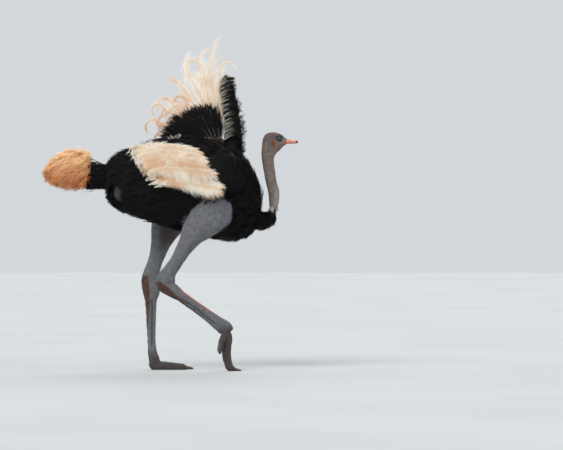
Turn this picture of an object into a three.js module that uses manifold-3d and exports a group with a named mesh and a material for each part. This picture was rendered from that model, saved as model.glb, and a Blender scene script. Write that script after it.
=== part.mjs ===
// Ostrich, adult male, life size, as a still museum model. It walks with its left foot planted and the
// toes of its right foot just coming down. The left wing is raised in a fan and the right one hangs half
// open along the flank.
//
// Millimetres. +X is forward, +Y is the bird's left and +Z is up. Shapes are laid out about the bird's own
// midplane y = 0, on a floor at z = 0, and the finished group is centred on its own footprint at the end.
import * as THREE from "three";
import { mergeVertices } from "three/addons/utils/BufferGeometryUtils.js";
import Module from "manifold-3d";

const wasm = await Module();
wasm.setup();

// ---- Driving sizes ------------------------------------------------------------------------------------
const GAP = 0.35; // clearance left where one piece meets another
const TRUNK_REAR = -385;
const TRUNK_FRONT = 622;
const HIP_APART = 182; // each knee's distance from the midplane
const FOOT_APART = { left: 30, right: 150 }; // the planted foot is drawn in under the body
const EYE_RADIUS = 22;
const PLUME_THICK = 6; // the vane of a wing plume
const LAYER = 9; // plumes lie in layers this far apart, so that they cross without touching
const LAYERS = 5;
const RIGHT_PLUMES = 8;

const COLOURS = {
  black_plumage: ["#17161a", 0.85],
  white_plumage: ["#efdcc0", 0.8],
  tail_plumage: ["#d9934f", 0.85],
  neck_skin: ["#8d7c74", 0.7],
  leg_skin: ["#8a8f9b", 0.65],
  bill_horn: ["#d98a75", 0.45],
  eye: ["#2b2a2c", 0.1],
  claw: ["#3a322d", 0.4],
};
const materials = Object.fromEntries(
  Object.entries(COLOURS).map(([name, [color, roughness]]) => [
    name,
    new THREE.MeshStandardMaterial({ name, color, roughness, metalness: 0 }),
  ]),
);

// ---- Small tools --------------------------------------------------------------------------------------
const degrees = THREE.MathUtils.degToRad;
const mix = THREE.MathUtils.lerp;
const clamp = THREE.MathUtils.clamp;

// A closed geometry as a solid that can be joined and cut.
function solidOf(geometry) {
  const bare = geometry.clone();
  bare.deleteAttribute("normal");
  bare.deleteAttribute("uv");
  const merged = mergeVertices(bare, 1e-3);
  return new wasm.Manifold(
    new wasm.Mesh({
      numProp: 3,
      vertProperties: merged.attributes.position.array,
      triVerts: new Uint32Array(merged.index.array),
    }),
  );
}

// A solid as a named mesh with its finish.
function pieceOf(name, solid, finish) {
  const { vertProperties, triVerts } = solid.getMesh();
  const geometry = new THREE.BufferGeometry();
  geometry.setAttribute("position", new THREE.BufferAttribute(vertProperties, 3));
  geometry.setIndex(new THREE.BufferAttribute(triVerts, 1));
  geometry.computeVertexNormals();
  const mesh = new THREE.Mesh(geometry, materials[finish]);
  mesh.name = name;
  return mesh;
}

// A closed form round a spine. Each row is [x, y, z, up, down, side]: a point of the spine and the three
// half-sizes of the section there, and smooth curves join the rows. Rows of what lies lengthwise run from
// rear to front, those of the neck and of a raised wing run upward, with "up" at the rear, and those of a leg
// run downward, with "up" at the front. Caps are the shares of the length over which the two ends round
// off, and grow makes the whole form that much fatter, for cutting a neighbour with clearance.
function limb(rows, { sides = 16, steps = 14, caps = [0.1, 0.1], grow = 0, upright = false } = {}) {
  const spine = new THREE.CatmullRomCurve3(rows.map(([x, y, z]) => new THREE.Vector3(x, y, z)));
  const girth = new THREE.CatmullRomCurve3(rows.map((row) => new THREE.Vector3(...row.slice(3, 6))));
  const geometry = new THREE.SphereGeometry(1, sides, steps);
  const position = geometry.attributes.position;
  const point = new THREE.Vector3();
  for (let i = 0; i < position.count; i++) {
    point.fromBufferAttribute(position, i);
    const t = Math.acos(clamp(point.y, -1, 1)) / Math.PI;
    const angle = Math.atan2(point.z, point.x);
    const forward = upright ? new THREE.Vector3(1, 0, 0) : spine.getTangent(t);
    const side = new THREE.Vector3(0, 1, 0).addScaledVector(forward, -forward.y).normalize();
    const up = new THREE.Vector3().crossVectors(forward, side);
    const towardsStart = clamp(1 - t / caps[0], 0, 1);
    const towardsEnd = clamp(1 - (1 - t) / caps[1], 0, 1);
    const round = Math.sqrt(1 - Math.max(towardsStart, towardsEnd) ** 2);
    const { x: upward, y: downward, z: sideways } = girth.getPoint(t);
    const height = Math.sin(angle) > 0 ? upward : downward;
    point
      .copy(spine.getPoint(t))
      .addScaledVector(side, Math.cos(angle) * (sideways * round + Math.min(grow, grow * round * 4)))
      .addScaledVector(up, Math.sin(angle) * (height * round + Math.min(grow, grow * round * 4)))
      .addScaledVector(forward, grow * (towardsEnd - towardsStart));
    position.setXYZ(i, point.x, point.y, point.z);
  }
  return solidOf(geometry);
}

// The same solid with other pieces' grown forms taken away.
const clearOf = (solid, ...neighbours) => neighbours.reduce((left, other) => left.subtract(other), solid);

// The part of a solid between two planes that face along one direction, from low to high along it.
function between(solid, normal, low, high) {
  const axis = new THREE.Vector3(...normal).normalize();
  return solid
    .trimByPlane(axis.toArray(), low + GAP / 2)
    .trimByPlane(axis.clone().negate().toArray(), GAP / 2 - high);
}

const aboveFloor = (solid) => solid.trimByPlane([0, 0, 1], 0);

// ---- Trunk and tail -----------------------------------------------------------------------------------
// Top, underside and half width of the feathered body, from the rump to the breast, at places that crowd
// towards the two ends.
const TRUNK_SECTIONS = [
  [1192, 1188, 2],
  [1312, 1062, 100],
  [1376, 992, 165],
  [1414, 945, 216],
  [1456, 901, 250],
  [1474, 853, 268],
  [1458, 818, 266],
  [1410, 795, 242],
  [1312, 826, 196],
  [1170, 905, 118],
  [1032, 1028, 2],
];

function trunk(grow = 0) {
  const last = TRUNK_SECTIONS.length - 1;
  const rows = TRUNK_SECTIONS.map(([top, bottom, side], i) => {
    const share = (1 - Math.cos((Math.PI * i) / last)) / 2;
    const height = (top - bottom) / 2;
    return [mix(TRUNK_REAR, TRUNK_FRONT, share), 0, (top + bottom) / 2, height, height, side];
  });
  return limb(rows, { sides: 20, steps: 16, caps: [0.001, 0.001], grow, upright: true });
}

const TAIL_ROOT = [
  [-474, 0, 1222, 72, 72, 62],
  [-410, 0, 1212, 88, 84, 74],
  [-350, 0, 1206, 84, 80, 74],
  [-280, 0, 1215, 95, 90, 80],
];
const tailRoot = (grow = 0) => limb(TAIL_ROOT, { sides: 12, steps: 7, caps: [0.3, 0.2], grow });

// The tail is one soft bunch of drooping plumes.
const TAIL_BUNCH = [
  [-752, 0, 1232, 38, 38, 36],
  [-712, 0, 1238, 78, 78, 74],
  [-650, 0, 1248, 114, 112, 104],
  [-560, 0, 1258, 132, 128, 118],
  [-470, 0, 1256, 120, 118, 104],
  [-425, 0, 1248, 78, 72, 70],
];
const tailBunch = () => limb(TAIL_BUNCH, { sides: 14, steps: 12, caps: [0.12, 0.08] });

// ---- Neck and head ------------------------------------------------------------------------------------
const NECK = [
  [560, 0, 946, 50, 58, 82],
  [606, 0, 936, 62, 68, 72],
  [648, 0, 944, 60, 56, 58],
  [672, 0, 988, 34, 26, 42],
  [680, 0, 1036, 31, 31, 35],
  [681, 0, 1112, 37, 34, 33],
  [664, 0, 1176, 35, 34, 31],
  [653, 0, 1240, 36, 36, 31],
  [645, 0, 1292, 37, 37, 31],
  [643, 0, 1333, 41, 41, 32],
  [648, 0, 1372, 46, 55, 34],
  [658, 0, 1410, 47, 60, 35],
  [668, 0, 1446, 44, 50, 34],
];
const HEAD = [
  [610, 0, 1418, 14, 22, 12],
  [626, 0, 1425, 34, 46, 27],
  [647, 0, 1428, 52, 62, 36],
  [675, 0, 1430, 56, 69, 41],
  [702, 0, 1430, 53, 68, 42],
  [724, 0, 1430, 43, 53, 40],
  [746, 0, 1428, 27, 29, 33],
  [772, 0, 1425, 18, 15, 25],
];
const BILL = [
  [738, 0, 1424, 21, 19, 29],
  [762, 0, 1424, 20, 14, 27],
  [786, 0, 1426, 16, 9, 24],
  [808, 0, 1427, 10, 8, 20],
  [831, 0, 1426, 7, 7, 13],
];
const neck = () => limb(NECK, { sides: 12, steps: 23, caps: [0.03, 0.07] });
const head = (grow = 0) => limb(HEAD, { sides: 14, steps: 13, caps: [0.08, 0.08], grow });
const bill = () => limb(BILL, { sides: 10, steps: 10, caps: [0.05, 0.16] });

// An eyeball, set so deep in the head that only its front third shows.
function eyeball(hand, grow = 0) {
  const geometry = new THREE.SphereGeometry(EYE_RADIUS + grow, 10, 8);
  geometry.translate(715, hand * 23, 1446);
  return solidOf(geometry);
}

// ---- Legs ---------------------------------------------------------------------------------------------
// The second figure of a leg's row is how far it stands out from the plane of that leg.
const DRUMSTICK = {
  left: [
    [62, -50, 1070, 100, 110, 58],
    [42, 0, 990, 122, 128, 74],
    [18, 0, 925, 110, 116, 78],
    [-8, 0, 862, 88, 92, 66],
    [-33, 0, 785, 62, 64, 50],
    [-50, 0, 727, 52, 53, 42],
    [-70, 0, 663, 46, 48, 37],
    [-85, 0, 612, 50, 54, 35],
    [-93, 0, 560, 60, 61, 35],
    [-93, 0, 520, 56, 58, 33],
  ],
  right: [
    [316, -60, 1136, 92, 98, 56],
    [306, -4, 1050, 126, 128, 72],
    [290, 0, 978, 136, 136, 80],
    [240, 0, 912, 100, 112, 80],
    [186, 0, 859, 84, 84, 72],
    [149, 0, 798, 60, 60, 58],
    [116, 0, 743, 47, 50, 47],
    [70, 0, 667, 42, 43, 38],
    [34, 0, 616, 46, 47, 36],
    [12, 0, 572, 62, 58, 35],
    [10, 0, 530, 56, 56, 33],
  ],
};
const SHANK = {
  left: [
    [-93, 0, 590, 52, 56, 33],
    [-93, 0, 530, 60, 61, 34],
    [-92, 0, 480, 56, 51, 32],
    [-92, 0, 420, 37, 38, 27],
    [-91, 0, 350, 33, 33, 24],
    [-89, 0, 270, 29, 30, 22],
    [-86, 0, 180, 26, 27, 22],
    [-80, 0, 105, 30, 30, 27],
    [-68, 0, 60, 35, 35, 33],
    [-62, 0, 22, 34, 34, 33],
  ],
  right: [
    [-46, 0, 566, 24, 24, 27],
    [0, 0, 532, 46, 46, 34],
    [54, 0, 497, 48, 44, 31],
    [108, 0, 461, 35, 34, 26],
    [198, 0, 398, 34, 35, 23],
    [285, 0, 336, 36, 38, 23],
    [340, 0, 294, 42, 44, 27],
    [378, 0, 262, 50, 46, 34],
    [392, 0, 232, 40, 36, 31],
  ],
};
// The big inner toe and the small outer one. The planted foot's toes lie flat, the other foot only touches
// down with the end of its big toe, and both are trimmed at the floor.
const BIG_TOE = {
  left: [
    [-98, 0, 50, 26, 26, 26],
    [-56, 0, 26, 34, 36, 32],
    [0, 0, 22, 30, 34, 31],
    [60, 0, 19, 26, 32, 28],
    [108, 0, 17, 22, 26, 25],
    [142, 0, 12, 15, 20, 17],
  ],
  right: [
    [388, 0, 252, 30, 30, 27],
    [391, 0, 200, 33, 34, 30],
    [388, 0, 150, 29, 32, 28],
    [388, 0, 104, 27, 30, 27],
    [394, 0, 62, 26, 28, 26],
    [410, 0, 26, 22, 28, 25],
    [446, 0, 11, 15, 20, 19],
  ],
};
const SMALL_TOE = {
  left: [
    [-78, 10, 52, 16, 18, 16],
    [-58, 30, 24, 20, 28, 19],
    [-26, 50, 17, 18, 22, 17],
    [6, 66, 14, 15, 20, 15],
    [32, 78, 9, 9, 14, 11],
  ],
  right: [
    [382, 14, 240, 20, 22, 18],
    [366, 32, 204, 20, 22, 19],
    [352, 46, 166, 18, 19, 17],
    [346, 54, 132, 15, 16, 15],
    [350, 58, 106, 10, 10, 10],
  ],
};
const BIG_CLAW = {
  left: [
    [130, 0, 14, 11, 11, 12],
    [154, 0, 11, 9, 9, 10],
    [178, 0, 7, 4, 5, 5],
  ],
  right: [
    [434, 0, 12, 10, 12, 11],
    [456, 0, 8, 8, 10, 9],
    [480, 0, 4, 4, 5, 5],
  ],
};

// The cut through each hock, where thigh and shank meet: the way it faces and how far along that it lies.
const HOCK_CUT = { left: { normal: [0, 0, 1], at: 566 }, right: { normal: [-0.2, 0, 0.98], at: 556 } };

const HANDS = { left: 1, right: -1 };
const legRows = (rows, side) =>
  rows.map(([x, outward, z, ...girth]) => {
    const apart = mix(FOOT_APART[side], HIP_APART, clamp((z - 60) / 900, 0, 1));
    return [x, HANDS[side] * (apart + outward), z, ...girth];
  });
const drumstick = (side, grow = 0) =>
  limb(legRows(DRUMSTICK[side], side), { sides: 12, steps: 15, caps: [0.12, 0.05], grow });
const shank = (side, grow = 0) =>
  limb(legRows(SHANK[side], side), { sides: 10, steps: 14, caps: [0.06, 0.07], grow });
const toe = (rows, side, grow = 0) =>
  limb(legRows(rows[side], side), { sides: 9, steps: 8, caps: [0.1, 0.16], grow });
const claw = (side) => limb(legRows(BIG_CLAW[side], side), { sides: 7, steps: 5, caps: [0.1, 0.12] });

// ---- Wings --------------------------------------------------------------------------------------------
// A plume is a thin blade round a quill, which keeps nearly straight and then hooks over at its tip. Headings
// are in the plane of the wing, in degrees, with 0 forward and 90 up. "bend" is how much the heading changes
// along the whole quill, and "curl" how much more it changes from share "hook" of the length on. "surface"
// gives the place of the wing's own curved surface for any x and z, and the plume lies beside it by "layer".
const PLUME_ROWS = 11;

function plume({ root, heading, bend, curl, hook, length, width, layer, surface }) {
  const rows = [];
  const at = new THREE.Vector3(root[0], layer, root[1]);
  let share = 0;
  for (let i = 1; i <= PLUME_ROWS; i++) {
    const half = width * Math.min(1, 0.4 + 1.6 * share) * (1 - 0.6 * clamp((share - 0.6) / 0.4, 0, 1) ** 1.4);
    rows.push([at.x, at.y, at.z, half, half, PLUME_THICK / 2]);
    const next = 1 - Math.max(0, 1 - i / (PLUME_ROWS - 1)) ** 2;
    const halfway = (share + next) / 2;
    const angle = degrees(heading + bend * halfway + curl * clamp((halfway - hook) / (1 - hook), 0, 1));
    at.add(new THREE.Vector3(Math.cos(angle), 0, Math.sin(angle)).multiplyScalar(length * (next - share)));
    share = next;
  }
  const flat = limb(rows, { sides: 6, steps: 11, caps: [0.06, 0.14] });
  return flat.warp((vertex) => {
    vertex[1] += surface(vertex[0], vertex[2]);
  });
}

// The raised left wing's plumes, from the rearmost round to the foremost: heading, bend, curl and length.
const LEFT_PLUMES = [
  [168, -20, 150, 470],
  [158, -32, 180, 495],
  [142, -16, 160, 475],
  [129, -8, 130, 445],
  [113, 2, 95, 520],
  [104, 8, 75, 620],
  [99, 2, 130, 590],
  [98, -3, 85, 668],
  [98, -3, -70, 660],
  [96, -3, -95, 625],
  [96, -14, -190, 550],
];
const layerOf = (i) => LAYER * ((i % LAYERS) - (LAYERS - 1) / 2);

// The raised wing stands upright beside the back and leans outward beyond its coverts.
const LEFT_WING = { x: 318, y: 214, z: 1432 };
const leftSurface = (x, z) => LEFT_WING.y + 0.28 * Math.max(0, Math.hypot(x - LEFT_WING.x, z - LEFT_WING.z) - 240);

function leftPlume([heading, bend, curl, length], i) {
  const share = i / (LEFT_PLUMES.length - 1);
  const root = [mix(268, 352, share), mix(1448, 1426, share)];
  const shape = { root, heading, bend, curl, hook: 0.76, length, width: 32 };
  return plume({ ...shape, layer: layerOf(i), surface: leftSurface });
}

// The lowered right wing lies against the flank. Its plumes run from the topmost, along the back, to the
// lowest.
const rightSurface = (x, z) => -226 - 0.34 * (1346 - z) - 0.05 * (340 - x);

function rightPlume(i) {
  const share = i / (RIGHT_PLUMES - 1);
  return plume({
    root: [mix(322, 366, share), mix(1346, 1122, share)],
    heading: mix(166, 163, share),
    bend: 18,
    curl: mix(10, 30, share),
    hook: 0.7,
    length: mix(540, 530, share),
    width: mix(34, 40, share),
    layer: -layerOf(i),
    surface: rightSurface,
  });
}

// Black wing coverts of the raised wing: a fan of short broad feathers over the quills, cut from a plate
// that reaches down to the trunk.
const FAN = { from: 172, to: 84, lobes: 7, thick: 46, foot: 1310 };

function covertFan(grow = 0) {
  const outline = new THREE.Shape();
  const points = 35;
  for (let i = 0; i <= points; i++) {
    const share = i / points;
    const lobe = Math.abs(Math.sin(Math.PI * FAN.lobes * share));
    const radius = mix(266, 200, share) + 28 * lobe ** 0.7 + grow;
    const angle = degrees(mix(FAN.from, FAN.to, share));
    const corner = [LEFT_WING.x + radius * Math.cos(angle), LEFT_WING.z + radius * Math.sin(angle)];
    if (i) outline.lineTo(...corner);
    else outline.moveTo(...corner);
  }
  outline.lineTo(LEFT_WING.x + 60 + grow, FAN.foot - grow);
  outline.lineTo(LEFT_WING.x - 150 - grow, FAN.foot - grow);
  outline.closePath();
  const thick = FAN.thick + 2 * grow;
  const geometry = new THREE.ExtrudeGeometry(outline, { depth: thick, bevelEnabled: false });
  geometry.rotateX(Math.PI / 2); // the outline's y becomes the bird's z, and the plate's thickness its y
  geometry.translate(0, LEFT_WING.y + thick / 2, 0);
  return solidOf(geometry);
}

const LEFT_ARM = [
  [400, 104, 1270, 86, 60, 50],
  [418, 156, 1340, 80, 56, 46],
  [426, 196, 1410, 68, 52, 38],
  [420, 226, 1480, 58, 56, 32],
  [411, 244, 1560, 52, 52, 27],
  [396, 256, 1640, 50, 54, 24],
  [382, 264, 1720, 46, 48, 20],
  [375, 270, 1786, 42, 42, 17],
  [374, 274, 1838, 24, 24, 12],
];
const RIGHT_ARM = [
  [322, -262, 1256, 62, 92, 24],
  [370, -256, 1256, 108, 134, 38],
  [420, -238, 1254, 110, 138, 48],
  [468, -194, 1252, 86, 110, 50],
  [506, -136, 1252, 50, 72, 46],
];
const leftArm = (grow = 0) => limb(LEFT_ARM, { sides: 12, steps: 14, caps: [0.1, 0.1], grow });
const rightArm = (grow = 0) => limb(RIGHT_ARM, { sides: 14, steps: 10, caps: [0.18, 0.12], grow });

// ---- Putting the bird together ------------------------------------------------------------------------
const bird = new THREE.Group();
const add = (name, solid, finish) => bird.add(pieceOf(name, solid, finish));
const both = (make) => Object.keys(HANDS).forEach((side) => make(side, HANDS[side]));

// Trunk, with room left for the thighs that are sunk in it.
const thighs = () => Object.keys(HANDS).map((side) => drumstick(side, GAP));
add("trunk", clearOf(trunk(), ...thighs()), "black_plumage");
add("tail_root", clearOf(tailRoot(), trunk(GAP)), "black_plumage");
add("tail_plumes", clearOf(tailBunch(), trunk(GAP), tailRoot(GAP)), "tail_plumage");

// Neck and head are modelled whole and parted by thin cuts.
const neckAndHead = clearOf(neck().add(head()), eyeball(1, GAP), eyeball(-1, GAP));
const NECK_CUTS = [0, 1014, 1156, 1300];
["neck_base", "neck_lower", "neck_middle"].forEach((name, i) => {
  const length = between(neckAndHead, [0, 0, 1], NECK_CUTS[i], NECK_CUTS[i + 1]);
  add(name, clearOf(length, trunk(GAP)), i ? "neck_skin" : "black_plumage");
});
const aboveNeck = between(neckAndHead, [0, 0, 1], NECK_CUTS[3], 3000);
const NAPE_CUT = { normal: [0.42, 0, 0.91], at: 1556 };
add("neck_upper", between(aboveNeck, NAPE_CUT.normal, 0, NAPE_CUT.at), "neck_skin");
add("head", between(aboveNeck, NAPE_CUT.normal, NAPE_CUT.at, 5000), "neck_skin");
const beak = clearOf(bill(), head(GAP));
const MOUTH = { normal: [0.04, 0, 1], at: 1451 };
add("bill_lower", between(beak, MOUTH.normal, 0, MOUTH.at), "bill_horn");
add("bill_upper", between(beak, MOUTH.normal, MOUTH.at, 5000), "bill_horn");
both((side, hand) => add("eye_" + side, eyeball(hand), "eye"));

// Legs. Thigh and shank are parted by a cut through the hock.
both((side) => {
  const { normal, at } = HOCK_CUT[side];
  const bigToe = aboveFloor(toe(BIG_TOE, side));
  const leg = drumstick(side).add(shank(side)).subtract(toe(BIG_TOE, side, GAP));
  add("drumstick_" + side, between(leg, normal, at, 5000), "leg_skin");
  add("shank_" + side, between(leg, normal, 0, at), "leg_skin");
  add("big_toe_" + side, bigToe, "leg_skin");
  const smallToe = aboveFloor(toe(SMALL_TOE, side)).subtract(shank(side, GAP));
  add("small_toe_" + side, smallToe.subtract(toe(BIG_TOE, side, GAP)), "leg_skin");
  add("claw_" + side, aboveFloor(claw(side)).subtract(toe(BIG_TOE, side, GAP)), "claw");
});

// The raised left wing.
add("wing_left_arm", clearOf(leftArm(), trunk(GAP)), "black_plumage");
add("wing_left_coverts", clearOf(covertFan(), leftArm(GAP), trunk(GAP)), "black_plumage");
LEFT_PLUMES.forEach((sizes, i) => {
  const bare = clearOf(leftPlume(sizes, i), covertFan(GAP), leftArm(GAP), trunk(GAP));
  add("wing_left_plume_" + String(i + 1).padStart(2, "0"), bare, "white_plumage");
});

// The lowered right wing.
add("wing_right_arm", clearOf(rightArm(), trunk(GAP)), "black_plumage");
for (let i = 0; i < RIGHT_PLUMES; i++) {
  const bare = clearOf(rightPlume(i), rightArm(GAP), trunk(GAP));
  add("wing_right_plume_" + (i + 1), bare, "white_plumage");
}

// The group's own frame stands at the middle of the bird's footprint, on the floor.
const box = new THREE.Box3().setFromObject(bird);
const middle = box.getCenter(new THREE.Vector3());
bird.children.forEach((mesh) => mesh.geometry.translate(-middle.x, -middle.y, -box.min.z));

export default bird;
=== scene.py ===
# %% [markdown]
# # A life-size ostrich
# This lesson dresses the imported solids of a walking ostrich in skin, horn, eyes and plumage. The solids are
# the fixed frame: they say where everything is and how large, and each piece made here takes the place of
# some of them. Loading them comes first, and their box is kept and printed again at the end.

import bpy
import numpy as np
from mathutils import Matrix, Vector
from mathutils.bvhtree import BVHTree


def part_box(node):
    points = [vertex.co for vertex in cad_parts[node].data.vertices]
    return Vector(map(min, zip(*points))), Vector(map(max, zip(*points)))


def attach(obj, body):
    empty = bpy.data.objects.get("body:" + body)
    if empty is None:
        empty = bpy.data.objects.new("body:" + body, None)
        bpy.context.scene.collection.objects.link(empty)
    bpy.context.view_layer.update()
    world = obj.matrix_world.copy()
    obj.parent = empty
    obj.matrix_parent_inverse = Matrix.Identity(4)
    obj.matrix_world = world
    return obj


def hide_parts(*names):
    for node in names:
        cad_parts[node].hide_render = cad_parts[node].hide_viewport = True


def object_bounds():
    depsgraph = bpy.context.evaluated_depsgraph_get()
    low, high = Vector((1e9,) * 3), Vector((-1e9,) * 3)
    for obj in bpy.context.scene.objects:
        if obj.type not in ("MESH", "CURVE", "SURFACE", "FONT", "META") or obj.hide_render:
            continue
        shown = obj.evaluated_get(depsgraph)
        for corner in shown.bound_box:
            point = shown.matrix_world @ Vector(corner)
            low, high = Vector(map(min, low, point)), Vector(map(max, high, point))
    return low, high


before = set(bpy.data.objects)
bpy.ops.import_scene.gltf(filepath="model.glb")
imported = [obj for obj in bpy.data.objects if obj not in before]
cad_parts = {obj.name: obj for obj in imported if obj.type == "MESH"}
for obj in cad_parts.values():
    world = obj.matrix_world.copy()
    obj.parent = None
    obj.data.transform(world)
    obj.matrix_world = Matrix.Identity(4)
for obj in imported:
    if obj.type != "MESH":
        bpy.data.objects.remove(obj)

cad_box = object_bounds()
lowest, highest = ([round(c, 3) for c in corner] for corner in cad_box)
print(len(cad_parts), "solids, from", lowest, "to", highest)

# %% [markdown]
# ## The bird's own measure
# Everything is laid out in millimetres about the bird's midplane, with x forward, y to its left and z up
# from the floor. The frame has its own origin, so one helper turns the bird's millimetres into the frame's
# metres. The front end of the trunk and the middle of its width give the shift between the two.

# %% Millimetres of the bird into metres of the frame
TRUNK_REAR, TRUNK_FRONT = -385, 622
MM = 0.001
trunk_low, trunk_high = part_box("trunk")
tail_low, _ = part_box("tail_plumes")
SHIFT = np.array([trunk_high.x - TRUNK_FRONT * MM, (trunk_low.y + trunk_high.y) / 2, 0.0])


def metres(points):
    return np.asarray(points, float) * MM + SHIFT


def unit(vectors):
    return vectors / np.maximum(np.linalg.norm(vectors, axis=-1, keepdims=True), 1e-9)


def columns(*values):
    """Numbers or arrays side by side, as the columns of one array."""
    return np.stack(np.broadcast_arrays(*values), -1).astype(float)


def mix(a, b, share):
    return a + (b - a) * share


def ramp(value, low, high):
    """A smooth step from 0 at low to 1 at high."""
    share = np.clip((value - low) / (high - low), 0, 1)
    return share * share * (3 - 2 * share)


print("the bird's origin lies at", SHIFT.round(4), "in the frame")
print("and its tail ends at x =", round((tail_low.x - SHIFT[0]) / MM), "mm from there")

# %% [markdown]
# ## Forms round a spine
# A neck, a toe or a trunk is a soft form round a spine, so each is a short list of rows. A row is a point
# of the spine and the half-sizes of the section there: up, down and to the side. A smooth curve runs
# through the rows, and any point of the surface is then found from two numbers, the share of the length and
# the angle round the spine. The same two numbers are the unwrap of the skin: a feather that is planted at a
# share and an angle knows its place on the body and its place on the map.

# %% A curve through rows, and a form round it
FIRST, LAST = 0.006, 0.994  # shares of the length: closer to its ends a form is too pointed to face any way
THINNEST = 3
SAME_PLACE = 1e-2


def through(rows, share):
    """The points at these shares of a centripetal curve through the rows."""
    last = len(rows) - 1
    place = np.clip(share, 0, 1) * last
    i = np.minimum(place.astype(int), last - 1)
    w = (place - i)[..., None]
    ends = np.vstack([2 * rows[0] - rows[1], rows, 2 * rows[-1] - rows[-2]])
    p = [ends[i + k] for k in range(4)]
    gaps = [np.linalg.norm(b - a, axis=-1, keepdims=True) ** 0.5 for a, b in zip(p, p[1:])]
    gaps[1] = np.where(gaps[1] < SAME_PLACE, 1.0, gaps[1])
    gaps[0], gaps[2] = (np.where(gap < SAME_PLACE, gaps[1], gap) for gap in (gaps[0], gaps[2]))
    before = (p[1] - p[0]) / gaps[0] - (p[2] - p[0]) / (gaps[0] + gaps[1]) + (p[2] - p[1]) / gaps[1]
    after = (p[2] - p[1]) / gaps[1] - (p[3] - p[1]) / (gaps[1] + gaps[2]) + (p[3] - p[2]) / gaps[2]
    m1, m2 = before * gaps[1], after * gaps[1]
    start, end = (2 * w**3 - 3 * w**2 + 1) * p[1], (3 * w**2 - 2 * w**3) * p[2]
    return start + end + (w**3 - 2 * w**2 + w) * m1 + (w**3 - w**2) * m2


def rings(steps, sides):
    """Shares and angles of the rings of a form's mesh, without its two ends."""
    shares = np.linspace(0, 1, steps + 1)[1:-1]
    return np.meshgrid(shares, np.arange(sides) * 2 * np.pi / sides, indexing="ij")


class Form:
    """A closed form round a spine. `caps` are the shares of its length that round off its two ends. `inset`
    makes the sections that much smaller, row by row, and an `upright` form keeps them square to x."""

    def __init__(self, rows, caps=(0.1, 0.1), inset=0, upright=False):
        rows = np.array(rows, float)
        self.spine = rows[:, :3]
        self.girth = np.maximum(rows[:, 3:] - np.reshape(inset, (-1, 1)), np.minimum(rows[:, 3:], THINNEST))
        self.caps, self.upright, self.tree = caps, upright, None

    def frame(self, share):
        """The spine's points at these shares, and the ways that are forward, sideways and up there."""
        step = 1e-4
        forward = unit(through(self.spine, share + step) - through(self.spine, share - step))
        if self.upright:
            forward = np.zeros_like(forward) + (1, 0, 0)
        side = unit(np.array((0, 1, 0)) - forward * forward[..., 1:2])
        return through(self.spine, share), forward, side, np.cross(forward, side)

    def point(self, share, angle):
        centre, _, side, up = self.frame(share)
        from_ends = (share, self.caps[0]), (1 - share, self.caps[1])
        start, end = (np.clip(1 - distance / cap, 0, 1) for distance, cap in from_ends)
        closing = np.sqrt(1 - np.maximum(start, end) ** 2)
        girth = through(self.girth, share) * closing[..., None]
        height = np.where(np.sin(angle) > 0, girth[..., 0], girth[..., 1]) * np.sin(angle)
        return centre + side * (girth[..., 2] * np.cos(angle))[..., None] + up * height[..., None]

    def surface(self, share, angle, depth=0.0):
        """Points `depth` under the surface, and the way that the surface faces there."""
        share = np.clip(share, FIRST, LAST)
        step, turn = 0.003, 0.02
        along = self.point(share + step, angle) - self.point(share - step, angle)
        around = self.point(share, angle + turn) - self.point(share, angle - turn)
        facing = unit(np.cross(around, along))
        outward = self.point(share, angle) - self.frame(share)[0]
        facing *= np.where((facing * outward).sum(-1, keepdims=True) < 0, -1, 1)
        return self.point(share, angle) - facing * np.reshape(depth, np.shape(depth) + (1,)), facing

    def shell(self, steps, sides):
        """The form as a closed mesh: its corners and its faces."""
        share, angle = rings(steps, sides)
        ends = self.frame(np.array([0.0, 1.0]))[0]
        corners = np.vstack([self.point(share, angle).reshape(-1, 3), ends])
        ring = np.arange(sides)
        turned = (ring + 1) % sides
        faces = []
        for i in range(steps - 2):
            a, b = i * sides, (i + 1) * sides
            faces += np.stack([a + ring, a + turned, b + turned, b + ring], 1).tolist()
        first, final = len(corners) - 2, len(corners) - 1
        faces += np.stack([turned, ring, np.full(sides, first)], 1).tolist()
        last = (steps - 2) * sides
        faces += np.stack([last + ring, last + turned, np.full(sides, final)], 1).tolist()
        return corners, faces

    def nearest(self, points):
        """The closest points of the surface to these points, and the ways that it faces there."""
        if self.tree is None:
            self.tree = BVHTree.FromPolygons(*self.shell(72, 60))
        hits = [self.tree.find_nearest(point) for point in points.reshape(-1, 3)]
        return (np.array([hit[k] for hit in hits]).reshape(points.shape) for k in (0, 1))

# %% [markdown]
# ## The rows
# These rows are the bird's lines. The trunk's are the top, the underside and the half width of the
# feathered body. Those of the neck run upward, so that "up" is the nape there, and those of a leg run down,
# so that "up" is its front. The second figure of a leg's row is how far it stands out from the plane of
# that leg.

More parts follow.
